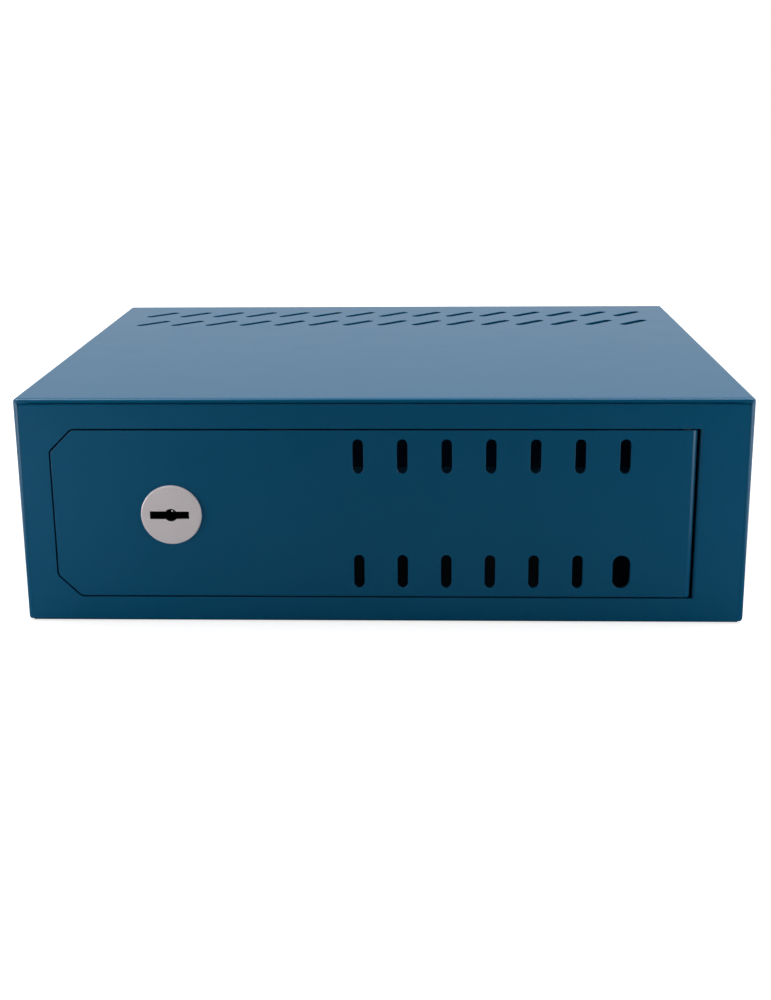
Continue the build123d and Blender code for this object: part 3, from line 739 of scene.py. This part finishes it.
def cross_recess(arm, width, top, depth):
    """Sink of a cross recess: the depth inside two crossed bars, tapering to nought at their ends."""

    def sink(across, up, height):
        near, far = np.minimum(np.abs(across), np.abs(up)), np.maximum(np.abs(across), np.abs(up))
        wall_slope, head_zone = 0.00012, 0.0006
        inside = np.clip((width / 2 - near) / wall_slope, 0, 1) * np.clip((arm - far) / (arm * 0.6), 0, 1)
        return inside * depth * (height > top - head_zone)

    return sink


def repeated(shape, middles, axis):
    """Copies of a turned shape, with its axis along Y or Z, at several middles."""
    points, quads = shape
    order = [0, 2, 1] if axis == "Y" else [0, 1, 2]
    placed = points[:, order][None] + np.asarray(middles, float)[:, None]
    firsts = len(points) * np.arange(len(middles))[:, None, None]
    return placed.reshape(-1, 3), (quads[None] + firsts).reshape(-1, 4)


def axis_middle(low, high, axis):
    """Middle of a box, at nought along one axis."""
    middle = (low + high) / 2
    middle[axis] = 0.0
    return middle


def corner_middles(low, high, radius):
    """Middles of four equal turned pieces that fill the corners of a box in X and Z, at nought along Y."""
    return [(x, 0.0, z) for x in (low[0] + radius, high[0] - radius) for z in (low[2] + radius, high[2] - radius)]


def put(name, data):
    """New object in the scene."""
    thing = bpy.data.objects.new(name, data)
    bpy.context.scene.collection.objects.link(thing)
    return thing


def piece(name, points, quads, triangles, body, finish, slot, *nodes):
    """Puts points and faces into a mesh with outward faces, gives it its finish and lets it ride on its body."""
    corners = np.concatenate([np.ravel(quads), np.ravel(triangles)]).astype(np.int32)
    sizes = np.concatenate([np.full(len(quads), 4), np.full(len(triangles), 3)])
    mesh = bpy.data.meshes.new(name)
    mesh.vertices.add(len(points))
    mesh.vertices.foreach_set("co", np.ravel(points).astype(np.float32))
    mesh.loops.add(len(corners))
    mesh.loops.foreach_set("vertex_index", corners)
    mesh.polygons.add(len(sizes))
    mesh.polygons.foreach_set("loop_start", (np.cumsum(sizes) - sizes).astype(np.int32))
    mesh.update(calc_edges=True)
    shape = bmesh.new()
    shape.from_mesh(mesh)
    bmesh.ops.remove_doubles(shape, verts=shape.verts, dist=1e-7)
    bmesh.ops.recalc_face_normals(shape, faces=shape.faces)
    shape.to_mesh(mesh)
    shape.free()
    mesh.polygons.foreach_set("use_smooth", np.ones(len(mesh.polygons), bool))
    mesh.set_sharp_from_angle(angle=SHARP_ANGLE)
    mesh.materials.append(finish_named(finish))
    thing = put(name, mesh)
    flatten = thing.modifiers.new("even_shading", "WEIGHTED_NORMAL")
    flatten.keep_sharp = True
    flatten.weight = 100
    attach(thing, body)
    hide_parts(*nodes)


class LOCKBOX_OT_wrap(bpy.types.Operator):
    """Bend the wrap from one sheet, with two rows of slanted vents in its top"""

    bl_idname = "lock_box.wrap"
    bl_label = "Wrap"

    def execute(self, context):
        shell = context.scene.lock_box_shell
        radius = shell.bend_inside + shell.wrap_sheet
        width, depth, height = wrap_high - wrap_low
        runs = (height - radius, width - 2 * radius, height - radius)
        total = sum(runs) + 2 * radius * QUARTER
        lines = bend_lines(runs, radius)
        half = depth / 2
        outline = np.array([(-half, 0), (half, 0), (half, total), (-half, total)])
        fade = runs[0] + radius * QUARTER + np.linspace(0, shell.lip_fade, 5)[1:]
        outline = with_crossings(outline, 1, np.concatenate([lines, fade, total - fade]))
        from_foot = np.minimum(outline[:, 1], total - outline[:, 1])
        marks = (0.0, runs[0], runs[0] + radius * QUARTER)
        outer = np.interp(from_foot, marks, (shell.foot_round, shell.side_lip, shell.lip_round))
        reach = np.interp(from_foot, marks, (shell.foot_round, shell.side_lip_back, shell.lip_back))
        steps = 8
        levels = edge_levels(outline, shell.wrap_sheet, outer, shell.plate_gap, steps, reach)
        part = np.interp(from_foot, (marks[2], fade[-1]), (0.0, 1.0)) * (np.abs(outline[:, 0]) > half - 1e-6)
        tall = shell.wrap_sheet - shell.plate_gap - part * (shell.wrap_sheet - shell.plate_gap - shell.lip_edge)
        step, deep = part * shell.lip_step, part * shell.lip_rebate
        inward = -np.sign(outline[:, 0])
        rebate = np.stack([levels[steps]] * 4)
        rebate[0, :, 2] = tall - step
        rebate[1, :, 0] += inward * step
        rebate[1, :, 2] = tall
        rebate[2, :, 0] += inward * deep * 0.5
        rebate[2, :, 2] = tall * 0.5 + levels[-1][:, 2] * 0.5
        rebate[3] = levels[-1]
        rebate[3, :, 0] += inward * deep
        stacks = [np.concatenate([levels[:steps], rebate])]
        column = (np.arange(shell.vent_columns) - (shell.vent_columns - 1) / 2) * shell.vent_pitch
        for from_back in (shell.first_row, shell.second_row):
            for across in column:
                middle = (half - from_back, total / 2 + across)
                vent = slotted_hole(middle, shell.vent_length, shell.vent_width, QUARTER - shell.vent_angle)
                stacks.append(edge_levels(clockwise(vent), shell.wrap_sheet, shell.cut_round, shell.cut_round, 4))

        def place(u, v, d):
            start = (wrap_low[0], wrap_low[2])
            path = bent(v, d, start, (0, 1), (1, 0), runs, radius, shell.wrap_sheet, shell.corner_round)
            return np.stack([path[:, 0], u, path[:, 1]], axis=1)

        points, quads, triangles = cut_sheet(stacks, [(0, creases(outline, 1, lines))], place)
        piece("wrap", points, quads, triangles, "cabinet", "blue_enamel", "body_paint", "wrap_cover")
        return {"FINISHED"}


def opening_corners(shell, inset, hinge_inset):
    """Corners of the door opening and their radii, drawn in by a gap; the lock side has its corners cut off."""
    left = door_low[0] - shell.opening_gap + inset
    right = door_high[0] + shell.hinge_gap - hinge_inset
    bottom = door_low[2] - shell.opening_gap + inset
    top = door_high[2] + shell.opening_gap - inset
    cut = shell.corner_cut - inset * (2 - np.sqrt(2))
    points = [
        (left, bottom + cut), (left + cut, bottom), (right, bottom),
        (right, top), (left + cut, top), (left, top - cut),
    ]
    blend = shell.corner_blend - inset
    return np.array(points), np.array([blend, blend, 0, 0, blend, blend])


class LOCKBOX_OT_tray(bpy.types.Operator):
    """Bend the front plate, base and back plate from one sheet, with the opening, its jamb and the holes"""

    bl_idname = "lock_box.tray"
    bl_label = "Tray"

    def execute(self, context):
        shell = context.scene.lock_box_shell
        sheet = shell.tray_sheet
        radius = shell.bend_inside + sheet
        half = wrap_high[0] - shell.wrap_sheet - shell.plate_gap
        top = wrap_high[2] - shell.wrap_sheet - shell.plate_gap
        depth = tray_high[1] - tray_low[1]
        runs = (top - radius, depth - 2 * radius, top - radius)
        total = sum(runs) + 2 * radius * QUARTER
        lines = bend_lines(runs, radius)
        outline = rounded([(-half, 0), (half, 0), (half, total), (-half, total)], shell.plate_corner)
        outline = with_crossings(outline, 1, lines)
        upper = np.abs(outline[:, 0]) < half - 1e-6
        outer = np.where(upper, shell.plate_round, shell.plate_gap)
        stacks = [edge_levels(outline, sheet, outer, shell.plate_gap)]
        folds = [(0, creases(outline, 1, lines))]

        corners, radii = opening_corners(shell, 0.0, 0.0)
        right, low, high = corners[2, 0], corners[2, 1], corners[3, 1]
        middle, half_rise = (low + high) / 2, (high - low) / 2
        root = right + radius
        jamb_runs = (0.0, shell.jamb_depth - radius)
        flange = root - sum(jamb_runs) - radius * QUARTER
        relief = shell.jamb_relief
        path = np.concatenate([corners[:2], [
            (root, low), (root, low + relief), (flange, low + relief),
            (flange, high - relief), (root, high - relief), (root, high),
        ], corners[4:]])
        opening = rounded(path, np.concatenate([radii[:2], np.zeros(6), radii[4:]]))
        jamb_lines = root - bend_lines(jamb_runs, radius)[1:]
        by_hinge = right - 2 * shell.jamb_depth
        on_jamb = (np.abs(opening[:, 1] - middle) < half_rise - relief / 2) & (opening[:, 0] > by_hinge)
        opening = with_crossings(opening, 0, jamb_lines, on_jamb)
        hole = clockwise(np.stack([opening[:, 0], top - opening[:, 1]], axis=1))
        off_middle = np.abs(hole[:, 1] - (top - middle))
        on_step = np.abs(hole[:, 0, None] - np.append(jamb_lines, root)) < SAME_LINE
        pairs = [np.nonzero(step & (off_middle < half_rise - relief / 2))[0] for step in on_step.T]
        folds.append((1, np.array([pair[[0, -1]] for pair in pairs if len(pair) > 1])))
        slim = (np.abs(off_middle - half_rise) < 2 * relief) & (hole[:, 0] > by_hinge)
        hole_round = np.where(slim, relief / 6, shell.cut_round)
        stacks.append(edge_levels(hole, sheet, hole_round, hole_round))

        foot = total - top
        rings = [circle((x, total / 2 + y), shell.fixing_hole, 32) for x, y in four_holes("base_fixings")]
        fixing_rise = foot + mount("wall_fixings")[0][2]
        rings += [circle((x, fixing_rise + z), shell.fixing_hole, 32) for x, z in four_holes("wall_fixings")]
        outlets = [mount(name)[0] for name in ("cable_outlet_left", "cable_outlet_right")]
        rings += [circle((place[0], foot + place[2]), shell.outlet, 64) for place in outlets]
        stacks += [edge_levels(clockwise(ring), sheet, shell.cut_round, shell.cut_round, 4) for ring in rings]

        def place(u, v, d):
            path = bent(v, d, (tray_low[1], top), (0, -1), (1, 0), runs, radius, sheet, shell.corner_round)
            plain = np.stack([u, path[:, 0], path[:, 1]], axis=1)
            fold = bent(root - u, d, (root, tray_low[1]), (-1, 0), (0, 1), jamb_runs, radius, sheet, shell.jamb_round)
            folded = np.stack([fold[:, 0], fold[:, 1], top - v], axis=1)
            on_jamb = (np.abs(top - v - middle) < half_rise - relief / 2) & (u <= root) & (u > flange - 0.001)
            return np.where(on_jamb[:, None], folded, plain)

        points, quads, triangles = cut_sheet(stacks, folds, place)
        piece("tray", points, quads, triangles, "cabinet", "blue_enamel", "body_paint", "chassis_tray")
        return {"FINISHED"}


def mount(name):
    """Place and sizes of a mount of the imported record, in metres."""
    found = next(item for item in frame["record"]["mounts"] if item["name"] == name)
    sizes = {key[:-3]: value / 1000 for key, value in found["dims"].items() if key.endswith("_mm")}
    return np.array(found["pos_m"]), sizes


def four_holes(name):
    """Middles of the four holes of a bolt pattern, across and along it, from the pattern's own middle."""
    sizes = mount(name)[1]
    across, along = sizes["spacing_x"] / 2, sizes["spacing_y"] / 2
    return [(x, y) for x in (-across, across) for y in (-along, along)]


class LOCKBOX_OT_door(bpy.types.Operator):
    """Bend the door with its cut-off corners, its fold at the hinge side, its air slots and the lock's hole"""

    bl_idname = "lock_box.door"
    bl_label = "Door"

    def execute(self, context):
        shell = context.scene.lock_box_shell
        door = context.scene.lock_box_door
        sheet = shell.tray_sheet
        radius = door.fold_inside + sheet
        left, right = door_low[0], door_high[0]
        low, high = door_low[2], door_high[2]
        fold = door_high[1] - door_low[1]
        runs = (right - left - radius, fold - radius)
        total = sum(runs) + radius * QUARTER
        lines = left + bend_lines(runs, radius)
        corners, radii = opening_corners(shell, shell.opening_gap, shell.hinge_gap)
        corners[2:4, 0] = left + total
        radii[2:4] = door.fold_corner
        outline = with_crossings(rounded(corners, radii), 0, lines)
        stacks = [edge_levels(outline, sheet, shell.cut_round, shell.cut_round)]
        for column in range(door.slot_columns):
            across = right - door.slot_edge - column * door.slot_pitch
            wide = door.cable_slot_width if column == 0 else door.slot_width
            for rise, width in ((low + door.slot_margin, wide), (high - door.slot_margin, door.slot_width)):
                slot = slotted_hole((across, rise), door.slot_length, width, QUARTER)
                stacks.append(edge_levels(clockwise(slot), sheet, shell.cut_round, shell.cut_round, 4))
        ring = circle(LOCK, door.shank_hole, 96)
        flat = door.shank_flats / 2
        ring[:, 1] = np.clip(ring[:, 1], LOCK[1] - flat, LOCK[1] + flat)
        stacks.append(edge_levels(clockwise(ring), sheet, SHARP_EDGE, SHARP_EDGE, 2))

        def place(u, v, d):
            path = bent(u - left, d, (left, door_low[1]), (1, 0), (0, 1), runs, radius)
            return np.stack([path[:, 0], path[:, 1], v], axis=1)

        points, quads, triangles = cut_sheet(stacks, [(0, creases(outline, 0, lines))], place)
        piece("door", points, quads, triangles, "door", "blue_enamel", "door_paint", "door_panel")
        return {"FINISHED"}


def keyhole_outline(lock, steps=9):
    """Round middle with a long arm to the left and a short arm to the right: arcs of the hub between the
    arms, which start where the hub's circle meets half the arm's width."""
    right = np.arcsin(lock.short_width / 2 / lock.hub)
    left = np.pi - np.arcsin(lock.long_width / 2 / lock.hub)
    above = on_circle(np.linspace(right, left, steps)) * lock.hub
    tips = []
    for reach, half in ((-lock.long_arm, lock.long_width / 2), (lock.short_arm, -lock.short_width / 2)):
        arm = rounded([(0, half), (reach, half), (reach, -half), (0, -half)], (0, lock.arm_corner, lock.arm_corner, 0))
        tips.append(arm[np.abs(arm[:, 0]) > abs(reach) / 2])
    return np.concatenate([above, tips[0], above[::-1] * (1, -1), tips[1]])


class LOCKBOX_OT_rosette(bpy.types.Operator):
    """Turn the lock's rosette with its keyhole, its flatted shank and the seat of the barrel"""

    bl_idname = "lock_box.rosette"
    bl_label = "Rosette"

    def execute(self, context):
        lock = context.scene.lock_box_lock
        reach = (rosette_high[0] - rosette_low[0]) / 2
        deep = rosette_high[1] - rosette_low[1]
        steps = 128
        ring = circle((0, 0), 1.0, steps)
        flat = lock.shank_flats / 2 / np.maximum(np.abs(ring[:, 1]), 1e-9)
        shank = np.minimum(lock.shank_radius, flat)
        groove = np.minimum(lock.shank_radius - lock.clip_groove, shank)
        turn = np.linspace(0, QUARTER, 6)
        rim = [(reach - lock.rosette_round * (1 - np.sin(a)), lock.rosette_round * (1 - np.cos(a))) for a in turn]
        start = lock.rosette_proud + context.scene.lock_box_shell.tray_sheet + lock.clip_start
        end = start + lock.clip_width
        levels = rim + [(reach, lock.rosette_proud), (shank, lock.rosette_proud)]
        levels += [(shank, start), (groove, start), (groove, end), (shank, end), (shank, deep)]
        outer = np.stack([
            np.concatenate([ring * np.broadcast_to(radius, steps)[:, None], np.full((steps, 1), depth)], axis=1)
            for radius, depth in levels
        ])
        keyhole = clockwise(keyhole_outline(lock))
        shoulder = deep - lock.seat_depth
        bore = edge_levels(keyhole, shoulder, lock.keyhole_round, SHARP_EDGE, 4)
        seat = unit(keyhole) * lock.seat_radius
        seat = [np.concatenate([seat, np.full((len(seat), 1), depth)], axis=1) for depth in (shoulder, deep)]
        inner = np.concatenate([bore, np.stack(seat)])

        def place(u, v, d):
            return np.stack([LOCK[0] + u, rosette_low[1] + d, LOCK[1] + v], axis=1)

        points, quads, triangles = cut_sheet([outer, inner], [], place)
        piece("rosette", points, quads, triangles, "door", "satin_nickel", "rosette_metal", "lock_rosette")
        return {"FINISHED"}


class LOCKBOX_OT_grommets(bpy.types.Operator):
    """Turn the two rubber grommets of the cable outlets, with soft lips and a groove for the back plate"""

    bl_idname = "lock_box.grommets"
    bl_label = "Grommets"

    def execute(self, context):
        shell = context.scene.lock_box_shell
        for name in ("cable_grommet_left", "cable_grommet_right"):
            low, high = corners_of(name)
            lip = (high[0] - low[0]) / 2
            hole = lip - shell.grommet_lip
            bore, neck = hole - shell.grommet_wall, hole - shell.grommet_fit
            front, rear = low[1] + shell.grommet_flange, high[1] - shell.grommet_flange
            round_lip, tight = shell.grommet_flange * 0.48, shell.cut_round
            profile = closed([
                round_wall(lip, low[1], front, round_lip, tight), [(neck, front), (neck, rear)],
                round_wall(lip, rear, high[1], tight, round_lip),
                round_wall(bore, high[1], low[1], round_lip, round_lip),
            ])
            shape = repeated(turned(profile, 96), [axis_middle(low, high, 1)], "Y")
            piece(name.replace("cable_", ""), *shape, [], "cabinet", "black_rubber", "grommet_rubber", name)
        return {"FINISHED"}


class LOCKBOX_OT_pins(bpy.types.Operator):
    """Turn the hinge pins, the post of the levers, the spindle and the crank pin"""

    bl_idname = "lock_box.pins"
    bl_label = "Pins"

    def execute(self, context):
        lock = context.scene.lock_box_lock
        pins = (
            ("hinge_pin_upper", 2, "door", "plated_steel", "zinc_plate", 0.0006),
            ("hinge_pin_lower", 2, "door", "plated_steel", "zinc_plate", 0.0006),
            ("key_spindle", 1, "key_barrel", "bright_steel", "bright_steel", 0.0012),
            ("crank_pin", 1, "key_barrel", "bright_steel", "bright_steel", 0.0003),
        )
        for name, axis, body, slot, finish, size in pins:
            low, high = corners_of(name)
            shape = turned(pin_profile((high[0] - low[0]) / 2, low[axis], high[axis], size), 48)
            shape = repeated(shape, [axis_middle(low, high, axis)], "XYZ"[axis])
            piece(name + "_turned", *shape, [], body, finish, slot, name)
        low, high = corners_of("lever_post")
        radius, end = (high[0] - low[0]) / 2, lock.post_end
        front, rear = low[1] + lock.case_wall, high[1] - lock.cover_thickness
        fine = lock.fine_edge
        profile = np.concatenate([
            [(0, low[1])], round_wall(end, low[1], front, fine, 0), round_wall(radius, front, rear, fine, fine),
            round_wall(end, rear, high[1], 0, lock.soft_edge), [(0, high[1])],
        ])
        shape = repeated(turned(profile, 48), [axis_middle(low, high, 1)], "Y")
        piece("lever_post_turned", *shape, [], "door", "bright_steel", "bright_steel", "lever_post")
        return {"FINISHED"}


class LOCKBOX_OT_fasteners(bpy.types.Operator):
    """Turn the threaded studs, the washers, the nuts and the cross-head screws of the lock case"""

    bl_idname = "lock_box.fasteners"
    bl_label = "Fasteners"

    def execute(self, context):
        lock = context.scene.lock_box_lock
        fine, soft = lock.fine_edge, lock.soft_edge
        low, high = corners_of("lock_studs")
        ends = pin_profile(lock.stud, low[1], high[1], 2 * fine)
        half, margin = len(ends) // 2, 0.0005
        steps = np.linspace(low[1] + margin, high[1] - margin, 90)
        profile = [ends[:half], np.stack([np.full(len(steps), lock.stud), steps], axis=1), ends[half:]]
        cut = thread(lock.stud, lock.thread_depth, lock.thread_pitch, low[1] + lock.thread_start, high[1])
        stud = turned(np.concatenate(profile), 36, cut)
        self.add("studs", stud, corner_middles(low, high, lock.stud), "lock_studs")

        low, high = corners_of("lock_washers")
        seats = corner_middles(low, high, lock.washer)
        ring = ring_profile(lock.washer_bore, lock.washer, low[1], high[1], fine)
        self.add("washers", turned(ring, 64), seats, "lock_washers")

        low, high = corners_of("lock_nuts")
        bore, flats = lock.nut_bore, lock.nut_flats
        face, corner = flats / 2 * 0.96, flats / np.sqrt(3)
        ends = [(bore, soft), (bore + soft, 0.0), (face, 0.0), (corner, lock.nut_slope)]
        profile = [(radius, low[1] + rise) for radius, rise in ends]
        profile += [(radius, high[1] - rise) for radius, rise in ends[::-1]]
        self.add("nuts", turned(closed([profile]), 72, hexagon(flats)), seats, "lock_nuts")

        low, high = corners_of("cover_screws")
        head, top = lock.screw_head, high[1]
        under, dome = top - lock.screw_height, lock.screw_height * 0.35
        crown = [(head * part, top - dome * part ** 3) for part in np.linspace(1, 0, 14)]
        neck = [(head * 0.96, under), (head, under + soft)]
        profile = np.concatenate([[(0, low[1])], round_wall(lock.screw, low[1], under, fine, 0), neck, crown])
        screw = turned(profile, 96, sink=cross_recess(head * 0.66, head * 0.3, top, lock.recess_depth))
        self.add("screws", screw, corner_middles(low, high, head), "cover_screws")
        return {"FINISHED"}

    def add(self, name, shape, middles, node):
        """One set of fasteners."""
        piece(name, *repeated(shape, middles, "Y"), [], "door", "zinc_plate", "plated_steel", node)


class LOCKBOX_OT_fittings(bpy.types.Operator):
    """Give the pieces that keep their CAD shape their finishes"""

    bl_idname = "lock_box.fittings"
    bl_label = "Fittings"

    def execute(self, context):
        finishes = {
            "hinge_lug": "blue_enamel", "door_stop": "blue_enamel", "rosette_clip": "bright_steel",
            # the barrel is nearly black partly as painted shade, so that the keyhole reads dark
            "lock_case": "zinc_plate", "lock_cover": "zinc_plate", "key_barrel": "blacked_steel",
            "bolt": "bright_steel", "bolt_stump": "bright_steel", "lever_spring": "bright_steel",
        }
        for name, thing in frame["nodes"].items():
            kind = next((kind for kind in finishes if name.startswith(kind)), None)
            finish = finishes.get(kind, "stamped_brass" if name.startswith("lever_") else "blue_enamel")
            for slot in thing.material_slots:
                slot.material = finish_named(finish)
        return {"FINISHED"}


LAMPS = (
    ("overhead_lamp_left", "overhead", 1.1, (-0.78, 0.15, 1.4), (0.0, 0.0, 0.1)),
    ("overhead_lamp_right", "overhead", 1.1, (0.74, 0.15, 1.4), (0.0, 0.0, 0.1)),
    ("front_lamp", "front", 0.6, (0.0, -0.80, 1.25), (0.0, -0.1, 0.1)),
    ("left_lamp", "left", 0.2, (-0.46, -0.42, 0.085), (-0.13, -0.16, 0.065)),
    ("right_lamp", "right", 0.2, (0.50, -0.38, 0.08), (0.15, -0.16, 0.06)),
)


def lamp(name, power, size, place, aim):
    """Soft square lamp that points at a place."""
    data = bpy.data.lights.new(name, "AREA")
    data.energy = power
    data.size = size
    thing = put(name, data)
    ahead = unit(np.subtract(aim, place))
    across = unit(np.cross(ahead, (0.0, 0.0, 1.0) if abs(ahead[2]) < 0.99 else (0.0, 1.0, 0.0)))
    turn = np.stack([across, np.cross(across, ahead), -ahead], axis=1)
    thing.matrix_world = Matrix.Translation(place) @ Matrix(turn.tolist()).to_4x4()


def camera_turn(yaw, pitch, roll):
    """Axes of the camera: it looks along yaw and pitch, and roll turns the picture."""
    ahead = np.array([np.sin(yaw) * np.cos(pitch), np.cos(yaw) * np.cos(pitch), -np.sin(pitch)])
    right = np.array([np.cos(yaw), -np.sin(yaw), 0.0])
    down = np.cross(ahead, right)
    across = right * np.cos(roll) + down * np.sin(roll)
    below = down * np.cos(roll) - right * np.sin(roll)
    return np.stack([across, -below, -ahead], axis=1)


class LOCKBOX_OT_studio(bpy.types.Operator):
    """Set up the floor, the lamps, the white surroundings and the camera"""

    bl_idname = "lock_box.studio"
    bl_label = "Studio"

    def execute(self, context):
        scene = context.scene
        studio = scene.lock_box_studio
        scene.view_settings.view_transform = "Standard"
        data = bpy.data.cameras.new("camera")
        data.sensor_fit = "VERTICAL"
        data.sensor_height = 36.0
        data.lens = studio.lens
        data.shift_x, data.shift_y = studio.shift
        data.clip_start = 0.01
        camera = put("camera", data)
        turn = Matrix(camera_turn(*studio.angles).tolist()).to_4x4()
        camera.matrix_world = Matrix.Translation(tuple(studio.place)) @ turn
        scene.camera = camera
        for name, power, size, place, aim in LAMPS:
            lamp(name, getattr(studio, power), size, place, aim)
        self.floor(studio)
        self.surroundings(scene, studio)
        return {"FINISHED"}

    def floor(self, studio):
        """Plain floor. The camera sees white on top of the light that falls on it, so its shadow stays. The
        sides and the back of the box mirror white as well, but its front mirrors it only at the left end."""
        finish = Finish("studio_floor")
        here = finish.where()
        away = finish.node("ShaderNodeVectorMath", {"operation": "LENGTH"}, {0: here}, "Value")
        across, along = finish.part(here, "X"), finish.part(here, "Y")
        seen, mirrored = finish.ray("Is Camera Ray"), finish.ray("Is Glossy Ray")
        near_left = finish.ramp(across, -0.26, -0.14, studio.floor_left, 0.0)
        beside = finish.ramp(across * across, 0.084, 0.137, 0.0, studio.floor_mirror)
        beside = beside * finish.ramp(along, -0.46, -0.34, 0.0, 1.0)
        behind = finish.ramp(along, -0.16, -0.08, 0.0, studio.floor_mirror)
        glow = seen * finish.ramp(away, 0.4, 1.2, studio.floor_glow, 1.0)
        glow = glow + mirrored * finish.maths("MAXIMUM", near_left, finish.maths("MAXIMUM", beside, behind))
        brightest = max(1.0, studio.floor_mirror)
        finish.surface({
            # in reflections the floor's own colour is nearly black, so the box mirrors only the painted glows there
            "Base Color": finish.blend(mirrored, tuple(studio.floor), (0.02, 0.02, 0.02, 1.0)),
            "Roughness": 1.0,
            "Specular IOR Level": 0.0,
            "Emission Color": finish.blend(glow * (1 / brightest), (0, 0, 0, 1), (1, 1, 1, 1)),
            "Emission Strength": brightest,
        })
        reach, level = 6, -0.0002
        mesh = bpy.data.meshes.new("floor")
        corners = [(x * reach, y * reach, level) for x, y in ((-1, -1), (1, -1), (1, 1), (-1, 1))]
        mesh.from_pydata(corners, [], [(0, 1, 2, 3)])
        mesh.materials.append(finish.material)
        put("floor", mesh)

    def surroundings(self, scene, studio):
        """White all round for the camera and in reflections from behind the box; dim behind the camera."""
        world = bpy.data.worlds.new("surroundings")
        scene.world = world
        world.use_nodes = True
        web = Web(world.node_tree)
        web.tree.nodes.clear()
        white = {"Color": (1.0, 1.0, 1.0, 1.0)}
        along = web.part(web.where("Generated"), "Y")
        front_to_back = web.ramp(along, -0.7, 0.5, studio.room_front, studio.room_back)
        mirrored = web.node("ShaderNodeBackground", {}, {**white, "Strength": front_to_back})
        ambient = web.node("ShaderNodeBackground", {}, {**white, "Strength": studio.room})
        plain = web.node("ShaderNodeBackground", {}, white)
        lit = web.node("ShaderNodeMixShader", {}, {0: web.ray("Is Glossy Ray"), 1: ambient, 2: mirrored})
        whole = web.node("ShaderNodeMixShader", {}, {0: web.ray("Is Camera Ray"), 1: lit, 2: plain})
        web.node("ShaderNodeOutputWorld", {}, {"Surface": whole})


class LOCKBOX_PT_panel(bpy.types.Panel):
    bl_idname = "LOCKBOX_PT_panel"
    bl_label = "Lock Box"
    bl_space_type = "VIEW_3D"
    bl_region_type = "UI"
    bl_category = "Lock Box"

    def draw(self, context):
        column = self.layout.column()
        for operator in OPERATORS:
            column.operator(operator.bl_idname)
        for group in GROUPS:
            settings = getattr(context.scene, group)
            for name in settings.bl_rna.properties.keys():
                if name not in {"rna_type", "name"}:
                    column.prop(settings, name)


OPERATORS = (
    LOCKBOX_OT_fittings,
    LOCKBOX_OT_wrap,
    LOCKBOX_OT_tray,
    LOCKBOX_OT_door,
    LOCKBOX_OT_rosette,
    LOCKBOX_OT_grommets,
    LOCKBOX_OT_pins,
    LOCKBOX_OT_fasteners,
    LOCKBOX_OT_studio,
)
GROUPS = {
    "lock_box_shell": LockBoxShell,
    "lock_box_door": LockBoxDoor,
    "lock_box_lock": LockBoxLock,
    "lock_box_finish": LockBoxFinish,
    "lock_box_studio": LockBoxStudio,
}


def register():
    for group in (*GROUPS.values(), *OPERATORS, LOCKBOX_PT_panel):
        bpy.utils.register_class(group)
    for name, group in GROUPS.items():
        setattr(bpy.types.Scene, name, PointerProperty(type=group))


def unregister():
    for name in GROUPS:
        delattr(bpy.types.Scene, name)
    for group in (LOCKBOX_PT_panel, *reversed(OPERATORS), *GROUPS.values()):
        bpy.utils.unregister_class(group)


def main():
    register()
    bpy.ops.lock_box.fittings()
    bpy.ops.lock_box.wrap()
    bpy.ops.lock_box.tray()
    bpy.ops.lock_box.door()
    bpy.ops.lock_box.rosette()
    bpy.ops.lock_box.grommets()
    bpy.ops.lock_box.pins()
    bpy.ops.lock_box.fasteners()
    bpy.ops.lock_box.studio()


if __name__ == "__main__":
    main()
